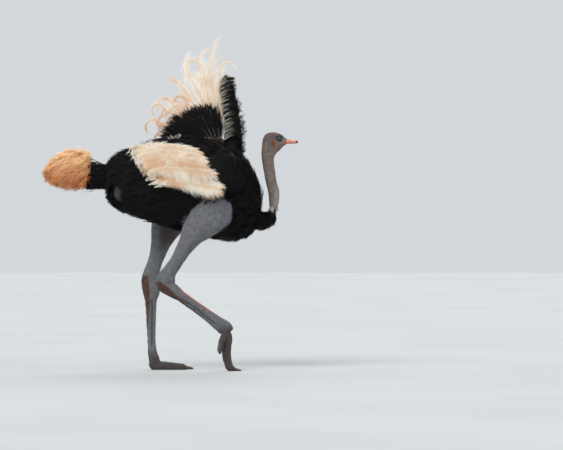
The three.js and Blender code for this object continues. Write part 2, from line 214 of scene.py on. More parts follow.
# %% The lines of the bird
TRUNK = [(1192, 1188, 2), (1312, 1062, 100), (1376, 992, 165), (1414, 945, 216), (1456, 901, 250),
         (1474, 853, 268), (1458, 818, 266), (1410, 795, 242), (1312, 826, 196), (1170, 905, 118),
         (1032, 1028, 2)]
TAIL_ROOT = [(-474, 0, 1222, 72, 72, 62), (-410, 0, 1212, 88, 84, 74), (-350, 0, 1206, 84, 80, 74),
             (-280, 0, 1215, 95, 90, 80)]
TAIL_BUNCH = [(-752, 0, 1232, 38, 38, 36), (-712, 0, 1238, 78, 78, 74), (-650, 0, 1248, 114, 112, 104),
              (-560, 0, 1258, 132, 128, 118), (-470, 0, 1256, 120, 118, 104), (-425, 0, 1248, 78, 72, 70)]
NECK = [(560, 0, 946, 50, 58, 82), (606, 0, 936, 62, 68, 72), (648, 0, 944, 60, 56, 58),
        (672, 0, 988, 34, 26, 42), (680, 0, 1036, 31, 31, 35), (681, 0, 1112, 37, 34, 33),
        (664, 0, 1176, 35, 34, 31), (653, 0, 1240, 36, 36, 31), (645, 0, 1292, 37, 37, 31),
        (643, 0, 1333, 41, 41, 32), (648, 0, 1372, 46, 55, 34), (658, 0, 1410, 47, 60, 35),
        (668, 0, 1446, 44, 50, 34)]
HEAD = [(613, 0, 1414, 12, 25, 12), (628, 0, 1422, 33, 48, 27), (647, 0, 1428, 52, 62, 36),
        (675, 0, 1430, 56, 69, 41), (702, 0, 1430, 53, 68, 42), (724, 0, 1430, 43, 53, 40),
        (746, 0, 1428, 27, 29, 33), (772, 0, 1425, 18, 15, 25)]
THIGH = {
    "left": [(62, -50, 1070, 100, 110, 58), (42, 0, 990, 122, 128, 74), (18, 0, 925, 110, 116, 78),
             (-8, 0, 862, 88, 92, 66), (-33, 0, 785, 62, 64, 50), (-50, 0, 727, 52, 53, 42),
             (-70, 0, 663, 46, 48, 37), (-85, 0, 612, 50, 54, 35), (-93, 0, 560, 60, 61, 35),
             (-93, 0, 520, 56, 58, 33)],
    "right": [(316, -60, 1136, 92, 98, 56), (306, -4, 1050, 126, 128, 72), (290, 0, 978, 136, 136, 80),
              (240, 0, 912, 100, 112, 80), (186, 0, 859, 84, 84, 72), (149, 0, 798, 60, 60, 58),
              (116, 0, 743, 47, 50, 47), (70, 0, 667, 42, 43, 38), (34, 0, 616, 46, 47, 36),
              (12, 0, 572, 62, 58, 35), (10, 0, 530, 56, 56, 33)],
}
SHANK = {
    "left": [(-93, 0, 590, 52, 56, 33), (-93, 0, 530, 60, 61, 34), (-92, 0, 480, 56, 51, 32),
             (-92, 0, 420, 37, 38, 27), (-91, 0, 350, 33, 33, 24), (-89, 0, 270, 29, 30, 22),
             (-86, 0, 180, 26, 27, 22), (-80, 0, 105, 30, 30, 27), (-68, 0, 60, 35, 35, 33),
             (-62, 0, 22, 34, 34, 33)],
    "right": [(-46, 0, 566, 24, 24, 27), (0, 0, 532, 46, 46, 34), (54, 0, 497, 48, 44, 31),
              (108, 0, 461, 35, 34, 26), (198, 0, 398, 34, 35, 23), (285, 0, 336, 36, 38, 23),
              (340, 0, 294, 42, 44, 27), (378, 0, 262, 50, 46, 34), (392, 0, 232, 40, 36, 31)],
}
BIG_TOE = {
    "left": [(-98, 0, 50, 26, 26, 26), (-56, 0, 26, 34, 36, 32), (0, 0, 22, 30, 34, 31),
             (60, 0, 19, 26, 32, 28), (108, 0, 17, 22, 26, 25), (142, 0, 12, 15, 20, 17)],
    "right": [(388, 0, 252, 30, 30, 27), (391, 0, 200, 33, 34, 30), (388, 0, 150, 29, 32, 28),
              (388, 0, 104, 27, 30, 27), (394, 0, 62, 26, 28, 26), (410, 0, 26, 22, 28, 25),
              (446, 0, 11, 15, 20, 19)],
}
SMALL_TOE = {
    "left": [(-78, 10, 52, 16, 18, 16), (-58, 30, 24, 20, 28, 19), (-26, 50, 17, 18, 22, 17),
             (6, 66, 14, 15, 20, 15), (32, 78, 9, 9, 14, 11)],
    "right": [(382, 14, 240, 20, 22, 18), (366, 32, 204, 20, 22, 19), (352, 46, 166, 18, 19, 17),
              (346, 54, 132, 15, 16, 15), (350, 58, 106, 10, 10, 10)],
}
BIG_CLAW = {
    "left": [(130, 0, 14, 11, 11, 12), (154, 0, 11, 9, 9, 10), (178, 0, 7, 4, 5, 5)],
    "right": [(434, 0, 12, 10, 12, 11), (456, 0, 8, 8, 10, 9), (480, 0, 4, 4, 5, 5)],
}
LEFT_ARM = [(400, 104, 1270, 86, 60, 50), (418, 156, 1340, 80, 56, 46), (426, 196, 1410, 68, 52, 38),
            (420, 226, 1480, 58, 56, 32), (411, 244, 1560, 52, 52, 27), (396, 256, 1640, 50, 54, 24),
            (382, 264, 1720, 46, 48, 20), (375, 270, 1786, 42, 42, 17), (374, 274, 1838, 24, 24, 12)]
RIGHT_ARM = [(322, -262, 1256, 62, 92, 24), (370, -256, 1256, 108, 134, 38),
             (420, -238, 1254, 110, 138, 48), (468, -194, 1252, 86, 110, 50), (506, -136, 1252, 50, 72, 46)]
# The scapular rows are where the raised wing grows from the back.
SCAPULAR = [(214, 168, 1352, 30, 40, 40), (262, 192, 1388, 52, 60, 34), (318, 206, 1396, 54, 70, 34),
            (372, 206, 1376, 48, 60, 36), (408, 190, 1340, 30, 40, 36)]
HIP_APART, FOOT_APART = 182, {"left": 30, "right": 150}  # from the midplane to the hip, and to each foot
FOOT_HEIGHT, LEG_LENGTH = 60, 900
HANDS = {"left": 1, "right": -1}


def trunk_rows():
    """The trunk's rows, which stand closer together towards its two ends."""
    for i, (top, bottom, side) in enumerate(TRUNK):
        share = (1 - np.cos(np.pi * i / (len(TRUNK) - 1))) / 2
        half = (top - bottom) / 2
        yield mix(TRUNK_REAR, TRUNK_FRONT, share), 0, (top + bottom) / 2, half, half, side


def leg_rows(rows, side):
    """A leg's rows in the bird's own frame: the legs close in towards the feet."""
    for x, outward, z, *girth in rows[side]:
        apart = mix(FOOT_APART[side], HIP_APART, np.clip((z - FOOT_HEIGHT) / LEG_LENGTH, 0, 1))
        yield x, HANDS[side] * (apart + outward), z, *girth


trunk = Form(list(trunk_rows()), caps=(0.001, 0.001), upright=True)
tail_root = Form(TAIL_ROOT, caps=(0.3, 0.2))
tail_bunch = Form(TAIL_BUNCH, caps=(0.12, 0.08))
neck = Form(NECK, caps=(0.03, 0.07), inset=[24, 24, 24, 12, 2] + [1] * 8)
head = Form(HEAD, caps=(0.08, 0.08), inset=[0.8] * 6 + [1.5, 5.5])
left_arm, right_arm = Form(LEFT_ARM), Form(RIGHT_ARM, caps=(0.18, 0.12))
scapular = Form(SCAPULAR, caps=(0.2, 0.2))


def of_both_legs(rows, caps, inset):
    return {side: Form(list(leg_rows(rows, side)), caps, inset) for side in HANDS}


thighs, shanks = of_both_legs(THIGH, (0.12, 0.05), 1), of_both_legs(SHANK, (0.06, 0.07), 1)
big_toes, small_toes = (of_both_legs(rows, (0.1, 0.16), 0.6) for rows in (BIG_TOE, SMALL_TOE))
print("a trunk", TRUNK_FRONT - TRUNK_REAR, "mm long and", 2 * max(row[2] for row in TRUNK), "mm wide")

# %% [markdown]
# ## Meshes and modifiers
# A few small helpers make the solid pieces: one joins shells, one makes an object of them, and one lets
# Blender's modifiers work on it and keeps the result. Remeshing in voxels melts overlapping shells into one
# smooth body, which is how neck, head and eyelids come to be a single skin.

# %% Helpers for solid pieces
def joined(*shells):
    corners, faces, count = [], [], 0
    for shell_corners, shell_faces in shells:
        corners.append(shell_corners)
        faces += [[corner + count for corner in face] for face in shell_faces]
        count += len(shell_corners)
    return np.vstack(corners), faces


def solid(name, shell):
    mesh = bpy.data.meshes.new(name)
    mesh.from_pydata(metres(shell[0]).tolist(), [], shell[1])
    mesh.update()
    made = bpy.data.objects.new(name, mesh)
    bpy.context.scene.collection.objects.link(made)
    return made


def worked(piece, *steps):
    """Lets each modifier, a type with its settings, work on the piece in turn, and keeps the result."""
    for kind, settings in steps:
        modifier = piece.modifiers.new(kind, kind)
        for name, value in settings.items():
            setattr(modifier, name, value)
    view = bpy.context.evaluated_depsgraph_get()
    raw, piece.data = piece.data, bpy.data.meshes.new_from_object(piece.evaluated_get(view))
    piece.modifiers.clear()
    bpy.data.meshes.remove(raw)
    return piece


def melted(piece, voxel, smoothings=0):
    """Remeshes overlapping shells into one skin, in voxels of so many millimetres, and smooths it."""
    steps = [("REMESH", {"mode": "VOXEL", "voxel_size": voxel * MM})]
    if smoothings:
        steps.append(("SMOOTH", {"factor": 0.5, "iterations": smoothings}))
    return worked(piece, *steps)


def read(piece, what):
    flat = np.empty(len(piece.data.vertices) * 3)
    piece.data.vertices.foreach_get(what, flat)
    return flat.reshape(-1, 3)


def corners_of(piece):
    """The piece's corners, in the bird's millimetres."""
    return (read(piece, "co") - SHIFT) / MM


def facings_of(piece):
    return read(piece, "normal")


def move_corners(piece, corners):
    piece.data.vertices.foreach_set("co", metres(corners).ravel())
    piece.data.update()


def smooth(piece):
    piece.data.polygons.foreach_set("use_smooth", np.ones(len(piece.data.polygons), bool))
    piece.data.update()
    return piece


def on_side(spot, hand):
    """A place given for the left side, on this hand's side."""
    return np.array((spot[0], spot[1] * hand, spot[2]), float)


def near(points, centre, reach):
    """A soft spot: 1 at its centre, falling to 0 over its reach along x, y and z."""
    return np.exp(-(((points - np.array(centre)) / np.array(reach)) ** 2).sum(-1))


def near_both(points, centre, reach):
    """A soft spot and its twin on the other side."""
    return sum(near(points, on_side(centre, hand), reach) for hand in HANDS.values())


def triangles_in(piece):
    return sum(len(p.vertices) - 2 for p in piece.data.polygons)

# %% [markdown]
# ## Head, neck and eyelids
# The eye is the largest of any land animal, and it makes the face. A ball sits deep in the head, and the
# lids are part of a thin dome round it with an almond opening. The dome, the head and the neck are remeshed
# together, a brow and a cheek are raised, and the ear and the corner of the mouth are sunk. The remeshed
# skin is then thinned where it is flat, so that its fine faces are kept for the lids.

# %% The head and neck
EYE = (715, 23, 1446)
EYE_RADIUS = 22
SOCKET_RADIUS = EYE_RADIUS + 0.8
LID_THICK, LID_LAP = 3.2, 0.4  # how far the lids' dome stands out from the eyeball, and how far it reaches in
LID_DEPTH = 2.1  # radians from the gaze to the edge of the dome, deep in the head
EAR = (677, 38, 1412)
FACE = [(4.0, (704, 33, 1472), (20, 12, 7)),  # brow: its height, its centre on the left and its reach
        (3.0, (704, 40, 1412), (16, 12, 12)),  # cheek
        (-5.5, EAR, (6, 12, 9)),  # ear
        (2.2, (EAR[0] - 11, EAR[1], EAR[2]), (5, 12, 14)),  # its rear rim
        (-2.4, (733, 30, 1424), (9, 12, 4)),  # corner of the mouth
        (1.8, (730, 30, 1414), (12, 12, 5))]  # fold under it


def eye_centre(hand):
    return on_side(EYE, hand)


def lid_opening(angle):
    """Half the eye's opening at an angle round the gaze, in radians as seen from the ball's centre."""
    return 0.80 - 0.15 * np.abs(np.sin(angle)) - 0.08 * np.sin(angle)


def lid_dome(hand, steps=14, sides=48):
    """A thin dome over the eyeball, open in an almond where the eye looks out, with a rolled rim."""
    angle = np.arange(sides) * 2 * np.pi / sides
    share = np.linspace(0, 1, steps + 1)[:, None]
    polar = mix(lid_opening(angle)[None], LID_DEPTH, share)
    rim = 1.6 * np.exp(-((share * 9) ** 2))
    layers = []
    for radius in (EYE_RADIUS + LID_THICK + rim, EYE_RADIUS - LID_LAP + 0 * rim):
        gaze = hand * radius * np.cos(polar)
        x, z = radius * np.sin(polar) * np.cos(angle), radius * np.sin(polar) * np.sin(angle)
        layers.append(columns(x, gaze, z) + eye_centre(hand))
    corners = np.vstack([layer.reshape(-1, 3) for layer in layers])
    ring, half = np.arange(sides), (steps + 1) * sides
    turned = (ring + 1) % sides
    faces = []
    for i in range(steps):
        a, b = i * sides, (i + 1) * sides
        outer = np.stack([a + ring, b + ring, b + turned, a + turned], 1)
        faces += outer.tolist() + (half + outer[:, [0, 3, 2, 1]]).tolist()
    for edge, flip in ((0, 1), (steps * sides, -1)):
        across = [edge + ring, edge + turned, half + edge + turned, half + edge + ring]
        faces += np.stack(across[::flip], 1).tolist()
    if hand < 0:
        faces = [face[::-1] for face in faces]
    return corners, faces


def ball(centre, radius, steps=24, sides=32):
    rows = [(centre[0] + radius * np.cos(a), centre[1], centre[2], *[radius * np.sin(a)] * 3)
            for a in np.linspace(np.pi, 0, 13)]
    return Form(rows, caps=(0.001, 0.001), upright=True).shell(steps, sides)


def cut(piece, tool, operation="DIFFERENCE"):
    worked(piece, ("BOOLEAN", {"object": tool, "operation": operation, "solver": "MANIFOLD"}))
    bpy.data.objects.remove(tool)
    return piece


bust = melted(solid("bust", joined(neck.shell(120, 40), head.shell(60, 48))), 1.6)
for hand in HANDS.values():
    cut(bust, solid("socket", ball(eye_centre(hand), SOCKET_RADIUS)))
lidded = solid("lids", joined(lid_dome(1), lid_dome(-1)))
bpy.context.view_layer.update()
with bpy.context.temp_override(active_object=bust, selected_editable_objects=[bust, lidded]):
    bpy.ops.object.join()
melted(bust, 1.35, smoothings=2)

spots, facing = corners_of(bust), facings_of(bust)
raised = np.zeros(len(spots))
for hand in HANDS.values():
    for height, centre, reach in FACE:
        raised += height * near(spots, on_side(centre, hand), reach)
raised += 6.0 * near(spots, (609, 0, 1413), (12, 30, 11))  # nape
x, y, z = spots.T
folds = np.sin(z / 1.7 + 2.4 * np.sin(z / 13) + 1.2 * np.sin(y / 9 + z / 23))
throat = ramp(x - 640, 0, 40) * ramp(1395 - z, 0, 60) * ramp(z - 1020, 0, 60)
raised += 0.45 * folds * (0.4 + 0.6 * throat) * ramp(1400 - z, 0, 60)
move_corners(bust, spots + facing * raised[:, None])
worked(bust, ("DECIMATE", {"ratio": 0.36}))
print("head and neck:", triangles_in(bust), "triangles")

# %% [markdown]
# ## Legs
# The legs are bare. Thigh, shank and toes are remeshed into one limb with a coarser voxel, because skin
# creases there are large and the finest are left to the bump of the finish. The rows make the heel a knot,
# a groove sets off the tendon behind each shank, and the toe pads bulge over the flat sole.

# %% The legs
FLOOR_GAP = 0.2


def shank_height(x):
    """Height of the middle of the lifted leg's shank, which slopes down towards its toes."""
    return 532 - 0.69 * x


def tendon_groove(points):
    """1 along the groove before each shank's tendon, falling to 0 beside it."""
    x, _, z = points.T
    aside = (z - shank_height(x) + 12 + 6 * np.sin(x / 40)) / 7
    lifted = np.exp(-(aside**2)) * ramp(x, 60, 130) * ramp(350 - x, 0, 50)
    standing = np.exp(-(((x + 84) / 6) ** 2)) * ramp(z, 120, 180) * ramp(470 - z, 0, 60)
    return lifted + standing


def leg_skin(side):
    parts = (thighs, 90, 40), (shanks, 90, 32), (big_toes, 60, 28), (small_toes, 50, 24)
    shells = [forms[side].shell(steps, sides) for forms, steps, sides in parts]
    limb = melted(solid("leg_" + side, joined(*shells)), 3.4, smoothings=3)
    spots, facing = corners_of(limb), facings_of(limb)
    x, y, z = spots.T
    creases = np.sin(z / 9 + 2 * np.sin(x / 21) + 1.5 * np.sin(z / 31)) * ramp(820 - z, 0, 120)
    lumps = np.sin(x / 13 + 2 * np.sin(z / 19)) * np.sin(z / 15 + 1.3 * np.sin(y / 11))
    pads = np.maximum(np.sin(x / 11), 0) * ramp(40 - z, 0, 30)
    raised = 0.7 * creases + 0.9 * lumps * ramp(760 - z, 0, 200) + 2.0 * pads - 0.3
    raised -= 2.6 * tendon_groove(spots)
    moved = spots + facing * raised[:, None]
    moved[:, 2] = np.maximum(moved[:, 2], FLOOR_GAP)
    move_corners(limb, moved)
    return worked(limb, ("DECIMATE", {"ratio": 0.45}))


legs = {side: leg_skin(side) for side in HANDS}
print("legs:", [triangles_in(leg) for leg in legs.values()], "triangles")

# %% [markdown]
# ## One skin
# The trunk lies under its coat, so its skin is the trunk's form drawn in by the depth of the feathers. At
# the rear of the flank the coat parts over a bare patch, and there the skin stands out again. Trunk, tail
# root, wing arms, legs and neck are then united into one closed skin that stands for all the flesh.

# %% Trunk, wing arms and the united skin
COAT_DEPTH = 44
FLANK_CENTRE, FLANK_REACH = (-308, -138, 1066), (44, 80, 78)


def flank_patch(points):
    return near_both(points, FLANK_CENTRE, FLANK_REACH)


def trunk_depth(points):
    """How deep the skin lies under the trunk's outline: less at the bare patches and at the neck."""
    return COAT_DEPTH - 30 * np.clip(flank_patch(points), 0, 1) - 26 * ramp(points[..., 0], 520, 605)


def sunk_shell(form, depth, steps, sides):
    """The form's shell, drawn in by a depth that is worked out for each of its corners."""
    corners, faces = form.shell(steps, sides)
    share, angle = rings(steps, sides)
    ring, facing = form.surface(share.ravel(), angle.ravel())
    corners[:-2] = ring - facing * depth(ring)[:, None]
    corners[-2:] = corners[:sides].mean(0), corners[-2 - sides:-2].mean(0)
    return corners, faces


skin = solid("skin", sunk_shell(trunk, trunk_depth, 72, 64))
under_plumage = [Form(TAIL_ROOT, caps=(0.3, 0.2), inset=26).shell(24, 24),
                 Form(LEFT_ARM, inset=26).shell(40, 20),
                 Form(RIGHT_ARM, caps=(0.18, 0.12), inset=28).shell(30, 24),
                 Form(SCAPULAR, caps=(0.2, 0.2), inset=14).shell(24, 24)]
for shell in under_plumage:
    cut(skin, solid("limb", shell), "UNION")
for limb in [bust, *legs.values()]:
    cut(skin, limb, "UNION")
smooth(skin)
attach(skin, "root")
FLESH = ["trunk", "tail_root", "neck_base", "neck_lower", "neck_middle", "neck_upper", "head"]
for side in HANDS:
    FLESH += [part + "_" + side for part in ("drumstick", "shank", "big_toe", "small_toe")]
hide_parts(*FLESH)
print("skin:", triangles_in(skin), "triangles")

# %% [markdown]
# ## Bill, eyes and claws
# A closed bill is two half sections that meet along the line of the mouth, so each half is a form whose
# flat side is nearly level. The upper half carries a keel, two sunken nostrils and a nail at its tip. The
# eyeballs are true balls with a bulge for the cornea, and the claws are short curved cones with a keel.

# %% Bill, eyes and claws
MOUTH_GAP = 0.5
NOSTRIL = (779, 17, 1432)
UPPER = [(722, 21, 1, 29), (742, 21.5, 1.2, 29), (764, 20.5, 1.4, 26), (786, 18.5, 1.4, 22),
         (806, 15, 1.4, 17.5), (822, 11.5, 1.6, 13), (831, 7.5, 3, 8.5)]
LOWER = [(722, 1, 15, 27), (742, 1.2, 12.5, 27), (764, 1.4, 9.5, 23.5), (786, 1.4, 7.5, 19),
         (806, 1.4, 6, 14), (822, 1.4, 4, 9)]


def mouth_height(x):
    return 1452.2 - 0.04 * x


def mandible(rows, gap):
    """Half a bill, from rows of x and the half-sizes up, down and to the side."""
    rows = [(x, 0, mouth_height(x) + gap, up, down, side) for x, up, down, side in rows]
    return Form(rows, caps=(0.04, 0.1))


bill_upper = solid("bill_upper_horn", mandible(UPPER, MOUTH_GAP).shell(90, 48))
bill_lower = solid("bill_lower_horn", mandible(LOWER, -MOUTH_GAP).shell(70, 36))
spots, facing = corners_of(bill_upper), facings_of(bill_upper)
x, y, z = spots.T
keel = 1.3 * np.exp(-((y / 5) ** 2)) * ramp(x, 745, 765)
raised = keel * (z > mouth_height(x) + 3)
raised += 1.5 * near(spots, (817, 0, 1434), (9, 14, 12))  # the nail
for hand in HANDS.values():
    raised += 1.8 * near(spots, on_side((774, 14, 1440), hand), (12, 7, 4))  # swelling over the nostril
    raised -= 4.6 * near(spots, on_side(NOSTRIL, hand), (7, 7, 2.8))
move_corners(bill_upper, spots + facing * raised[:, None])
for piece, node in ((bill_upper, "bill_upper"), (bill_lower, "bill_lower")):
    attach(smooth(piece), "root")
    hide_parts(node)

eyes, claws = [], []
for side, hand in HANDS.items():
    eye = solid("eyeball_" + side, ball(eye_centre(hand), EYE_RADIUS - 0.3, 48, 64))
    spots = corners_of(eye) - eye_centre(hand)
    gaze = spots[:, 1] * hand / np.linalg.norm(spots, axis=1)
    cornea = 1 + 0.035 * ramp(gaze, 0.8, 0.93)
    move_corners(eye, spots * cornea[:, None] + eye_centre(hand))
    claw = solid("claw_horn_" + side, Form(list(leg_rows(BIG_CLAW, side)), caps=(0.02, 0.2)).shell(40, 24))
    spots = corners_of(claw)
    keel = 0.9 * np.exp(-(((spots[:, 1] - hand * FOOT_APART[side]) / 2.5) ** 2))
    spots[:, 2] = np.maximum(spots[:, 2] + keel, FLOOR_GAP)
    move_corners(claw, spots)
    for piece, slot, node, kept in ((eye, "eye", "eye_", eyes), (claw, "claw", "claw_", claws)):
        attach(smooth(piece), "root")
        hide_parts(node + side)
        kept.append(piece)
print("bill, eyes and claws:", [triangles_in(piece) for piece in [bill_upper, bill_lower, *eyes, *claws]])

# %% [markdown]
# ## Scutes
# Horn plates run down the front of each shank and over the toes. They are real plates: a curved patch that
# follows the form, raised in its middle, with its edges sunk in the skin and its lower edge over the next
# one.

# %% Horn plates on shanks and toes
PLATE_DEPTH = 2.2


def plates(form, spans, across, lift, rows=5, places=8):
    """One plate for each (start, end) share of the form, over the angles `across`, as a closed lens."""
    shells = []
    for start, end in spans:
        share, turn = np.meshgrid(np.linspace(0, 1, rows), np.linspace(-1, 1, places), indexing="ij")
        angle = np.radians(mix(across[0], across[1], (turn + 1) / 2))
        edge = (1 - turn**4) * (1 - (2 * share - 1) ** 6)
        height = lift * edge * (0.55 + 0.65 * share) - 1.2 * (1 - edge)
        top, facing = form.surface(mix(start, end, share).ravel(), angle.ravel())
        corners = np.vstack([top + facing * height.reshape(-1, 1), top - facing * PLATE_DEPTH])
        at, under = np.arange(rows * places).reshape(rows, places), rows * places
        quads = np.stack([at[:-1, :-1], at[1:, :-1], at[1:, 1:], at[:-1, 1:]], -1).reshape(-1, 4)
        rim = np.concatenate([at[0, :-1], at[:-1, -1], at[-1, :0:-1], at[:0:-1, 0]])
        following = np.roll(rim, -1)
        walls = np.stack([rim, following, following + under, rim + under], 1)
        shells.append((corners, quads.tolist() + (quads[:, ::-1] + under).tolist() + walls[:, ::-1].tolist()))
    return joined(*shells)


def spans(first, last, count, overlap=1.18):
    step = (last - first) / count
    return [(first + i * step, first + (i + overlap) * step) for i in range(count)]


scutes = []
for side in HANDS:
    shell = joined(plates(shanks[side], spans(0.30, 0.86, 30), (56, 124), 1.1),
                   plates(big_toes[side], spans(0.16, 0.86, 13), (38, 142), 1.7),
                   plates(small_toes[side], spans(0.25, 0.85, 7), (38, 142), 1.2))
    shell[0][:, 2] = np.maximum(shell[0][:, 2], 2 * FLOOR_GAP)
    piece = worked(solid("scutes_" + side, shell), ("SUBSURF", {"levels": 1}))
    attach(smooth(piece), "root")
    scutes.append(piece)
print("scutes:", [triangles_in(piece) for piece in scutes], "triangles")

# %% [markdown]
# ## How plumage is made
# An ostrich's feathers have no hooks on their barbs, so each one falls loosely apart. Every feather here is
# a quill with rows of barbs, and every barb is a thin ribbon that tapers to a point. Ribbons are gathered
# by the thousand and joined as one mesh for each part of the coat. Each ribbon brings a patch on the bake's
# map at the place of its root, and shades for the finish: how far along the barb a point is, how far along
# the quill the barb grows, and a chance tint. A fourth shade marks pale strands among dark ones.

# %% A coat of many ribbons
PATCH = 0.003  # the side of a ribbon's patch, as a share of the map
SHADES = ("along", "place", "tint", "pale")
coats = []


class Coat:
    """Gathers ribbons, then joins them as one piece."""

    def __init__(self, name, slot, *stands_for):
        self.name, self.slot, self.stands_for = name, slot, stands_for
        self.corners, self.triangles, self.patches, self.shades, self.count = [], [], [], [], 0
        coats.append(self)

    def ribbons(self, path, facing, width, patch, place, tint, pale, taper=None):
        """path is n ribbons by k points; the other values hold a row for each ribbon, or one for all."""
        n, k, _ = path.shape
        width, place, tint, pale = (np.broadcast_to(v, n)[:, None] for v in (width, place, tint, pale))
        share = np.linspace(0, 1, k)
        taper = 1 - 0.75 * share**2 if taper is None else taper
        facing = np.broadcast_to(facing, (n, 3))[:, None]
        across = unit(np.cross(np.gradient(path, axis=1), facing)) * (width * taper)[..., None] / 2
        pairs = np.stack([path - across, path + across], 2)[:, :-1].reshape(n, -1, 3)
        self.corners.append(np.concatenate([pairs, path[:, -1:]], 1).reshape(-1, 3).astype(np.float32))
        steps = [(2 * j, 2 * j + 1, 2 * j + 3, 2 * j, 2 * j + 3, 2 * j + 2) for j in range(k - 2)]
        faces = np.array([*np.ravel(steps), 2 * k - 4, 2 * k - 3, 2 * k - 2], int).reshape(-1, 3)
        per = 2 * k - 1
        self.triangles.append((faces[None] + (np.arange(n) * per)[:, None, None] + self.count).reshape(-1, 3))
        self.count += n * per
        along = np.append(np.repeat(share[:-1], 2), 1.0)
        sideways = np.append(np.tile((-1.0, 1.0), k - 1), 0.0)
        corner = columns(sideways, 2 * along - 1) * PATCH / 2
        self.patches.append((patch[:, None] + corner[None]).reshape(-1, 2).astype(np.float32))
        shades = columns(along[None], place, tint, pale)
        self.shades.append(shades.reshape(-1, 4).astype(np.float32))

    def build(self):
        corners, triangles = np.concatenate(self.corners), np.concatenate(self.triangles).astype(np.int32)
        patches, shades = np.concatenate(self.patches), np.concatenate(self.shades)
        mesh = bpy.data.meshes.new(self.name)
        mesh.vertices.add(len(corners))
        mesh.vertices.foreach_set("co", metres(corners).ravel())
        mesh.loops.add(triangles.size)
        mesh.loops.foreach_set("vertex_index", triangles.ravel())
        mesh.polygons.add(len(triangles))
        mesh.polygons.foreach_set("loop_start", np.arange(0, triangles.size, 3, dtype=np.int32))
        mesh.update(calc_edges=True)
        mesh.uv_layers.new(name="OFBake").data.foreach_set("uv", patches[triangles.ravel()].ravel())
        for column, name in enumerate(SHADES):
            mesh.attributes.new(name, "FLOAT", "POINT").data.foreach_set("value", shades[:, column].copy())
        piece = bpy.data.objects.new(self.name, mesh)
        bpy.context.scene.collection.objects.link(piece)
        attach(smooth(piece), "root")
        if self.stands_for:
            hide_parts(*self.stands_for)
        print(self.name + ":", len(triangles), "triangles")
        return piece


print("each ribbon's patch on the map is", PATCH, "across and carries", ", ".join(SHADES))

# %% [markdown]
# ## Quills and barbs
# A ribbon sets off along its heading and is drawn round towards a pull as it goes, which stands for wind,
# weight and its own curl at once. Barbs set off from both sides of a quill at a slant and are longest at
# its middle.

# %% Sweeping strands, and feathers of them
def sweep(start, heading, pull, length, steps):
    """Paths that set off along a heading and are drawn round towards a pull."""
    heading, pull = (np.broadcast_to(np.asarray(way, float), start.shape) for way in (heading, pull))
    share = (np.arange(steps) + 0.5) / steps
    way = unit(unit(heading)[:, None] + pull[:, None] * share[None, :, None])
    step = way * (length / steps)[:, None, None]
    return start[:, None] + np.concatenate([np.zeros((len(start), 1, 3)), np.cumsum(step, 1)], 1)


def along_path(path, share):
    """Points at these shares (n by m) of each of n paths."""
    place = np.clip(share, 0, 1) * (path.shape[1] - 1)
    i = np.minimum(place.astype(int), path.shape[1] - 2)
    w = (place - i)[..., None]
    return mix(np.take_along_axis(path, i[..., None], 1), np.take_along_axis(path, i[..., None] + 1, 1), w)


def feathers(coat, chance, quills, facing, reach, patch, barbs, slant=38, wind=(0, 0, 0), thick=1.6, steps=2,
             first=0.06, quill_width=2.2, fuzz=0.25, tip=0.45, fade=3, tint=None, own_patches=None,
             forward=0.5, barb_pale=0, sides=(1, 1), lock=1, stray=0.0):
    """Feathers on these quills (n paths). `facing` is the way that the vane looks, `reach` the length of the
    longest barbs, `barbs` their number on each side of the quill, and `sides` scales them there. They
    shorten by `tip` towards the quill's end, the later the larger `fade` is. Those that cling together in
    locks of `lock` stray together, and `fuzz` ruffles each by itself."""
    n = len(quills)
    facing = np.broadcast_to(np.asarray(facing, float), (n, 3))
    tint = chance.random(n) if tint is None else np.broadcast_to(tint, n)
    share = first + (1 - first) * (np.arange(barbs) + chance.random((n, barbs))) / barbs
    tangent = unit(along_path(quills, share + 0.03) - along_path(quills, share - 0.03))
    sideways = unit(np.cross(tangent, facing[:, None]))
    narrowing = 1 - 0.8 * np.linspace(0, 1, quills.shape[1])
    coat.ribbons(quills, facing, quill_width, patch, 0, tint, 0, narrowing)
    blow = wind(along_path(quills, share)) if callable(wind) else np.asarray(wind, float)
    profile = np.clip(0.45 + 2.2 * share, 0, 1) * (1 - tip * share**fade)
    for hand in (-1, 1):
        angle = np.radians(slant * (1 - 0.35 * share**3) * chance.uniform(0.75, 1.25, share.shape))[..., None]
        heading = tangent * np.cos(angle) + hand * sideways * np.sin(angle)
        heading += facing[:, None] * chance.normal(0, fuzz, share.shape)[..., None]
        together = np.repeat(chance.normal(0, stray, (n, -(-barbs // lock), 3)), lock, 1)[:, :barbs]
        together *= 1 - 0.7 * np.abs(facing[:, None])
        pull = forward * tangent + blow + together + chance.normal(0, fuzz, heading.shape)
        longest = np.broadcast_to(reach, n)[:, None]
        length = longest * profile * chance.uniform(0.7, 1.15, share.shape) * sides[hand > 0]
        count = n * barbs
        start = along_path(quills, share).reshape(count, 3)
        path = sweep(start, heading.reshape(count, 3), pull.reshape(count, 3), length.ravel(), steps)
        look = unit(np.repeat(facing, barbs, 0) + chance.normal(0, 0.35, (count, 3)))
        spread = np.repeat(patch, barbs, 0)
        if own_patches is not None:
            spread = spread + own_patches * share.reshape(-1, 1)
        tints = np.clip(np.repeat(tint, barbs) + chance.normal(0, 0.12, count), 0, 1)
        pales = (chance.random(count) < barb_pale) * 1.0
        widths = thick * chance.uniform(0.7, 1.3, count)
        coat.ribbons(path, look, widths, spread, share.ravel(), tints, pales)


CELLS = 120
MARGIN = 0.01  # left free along the edges of a form's unwrap


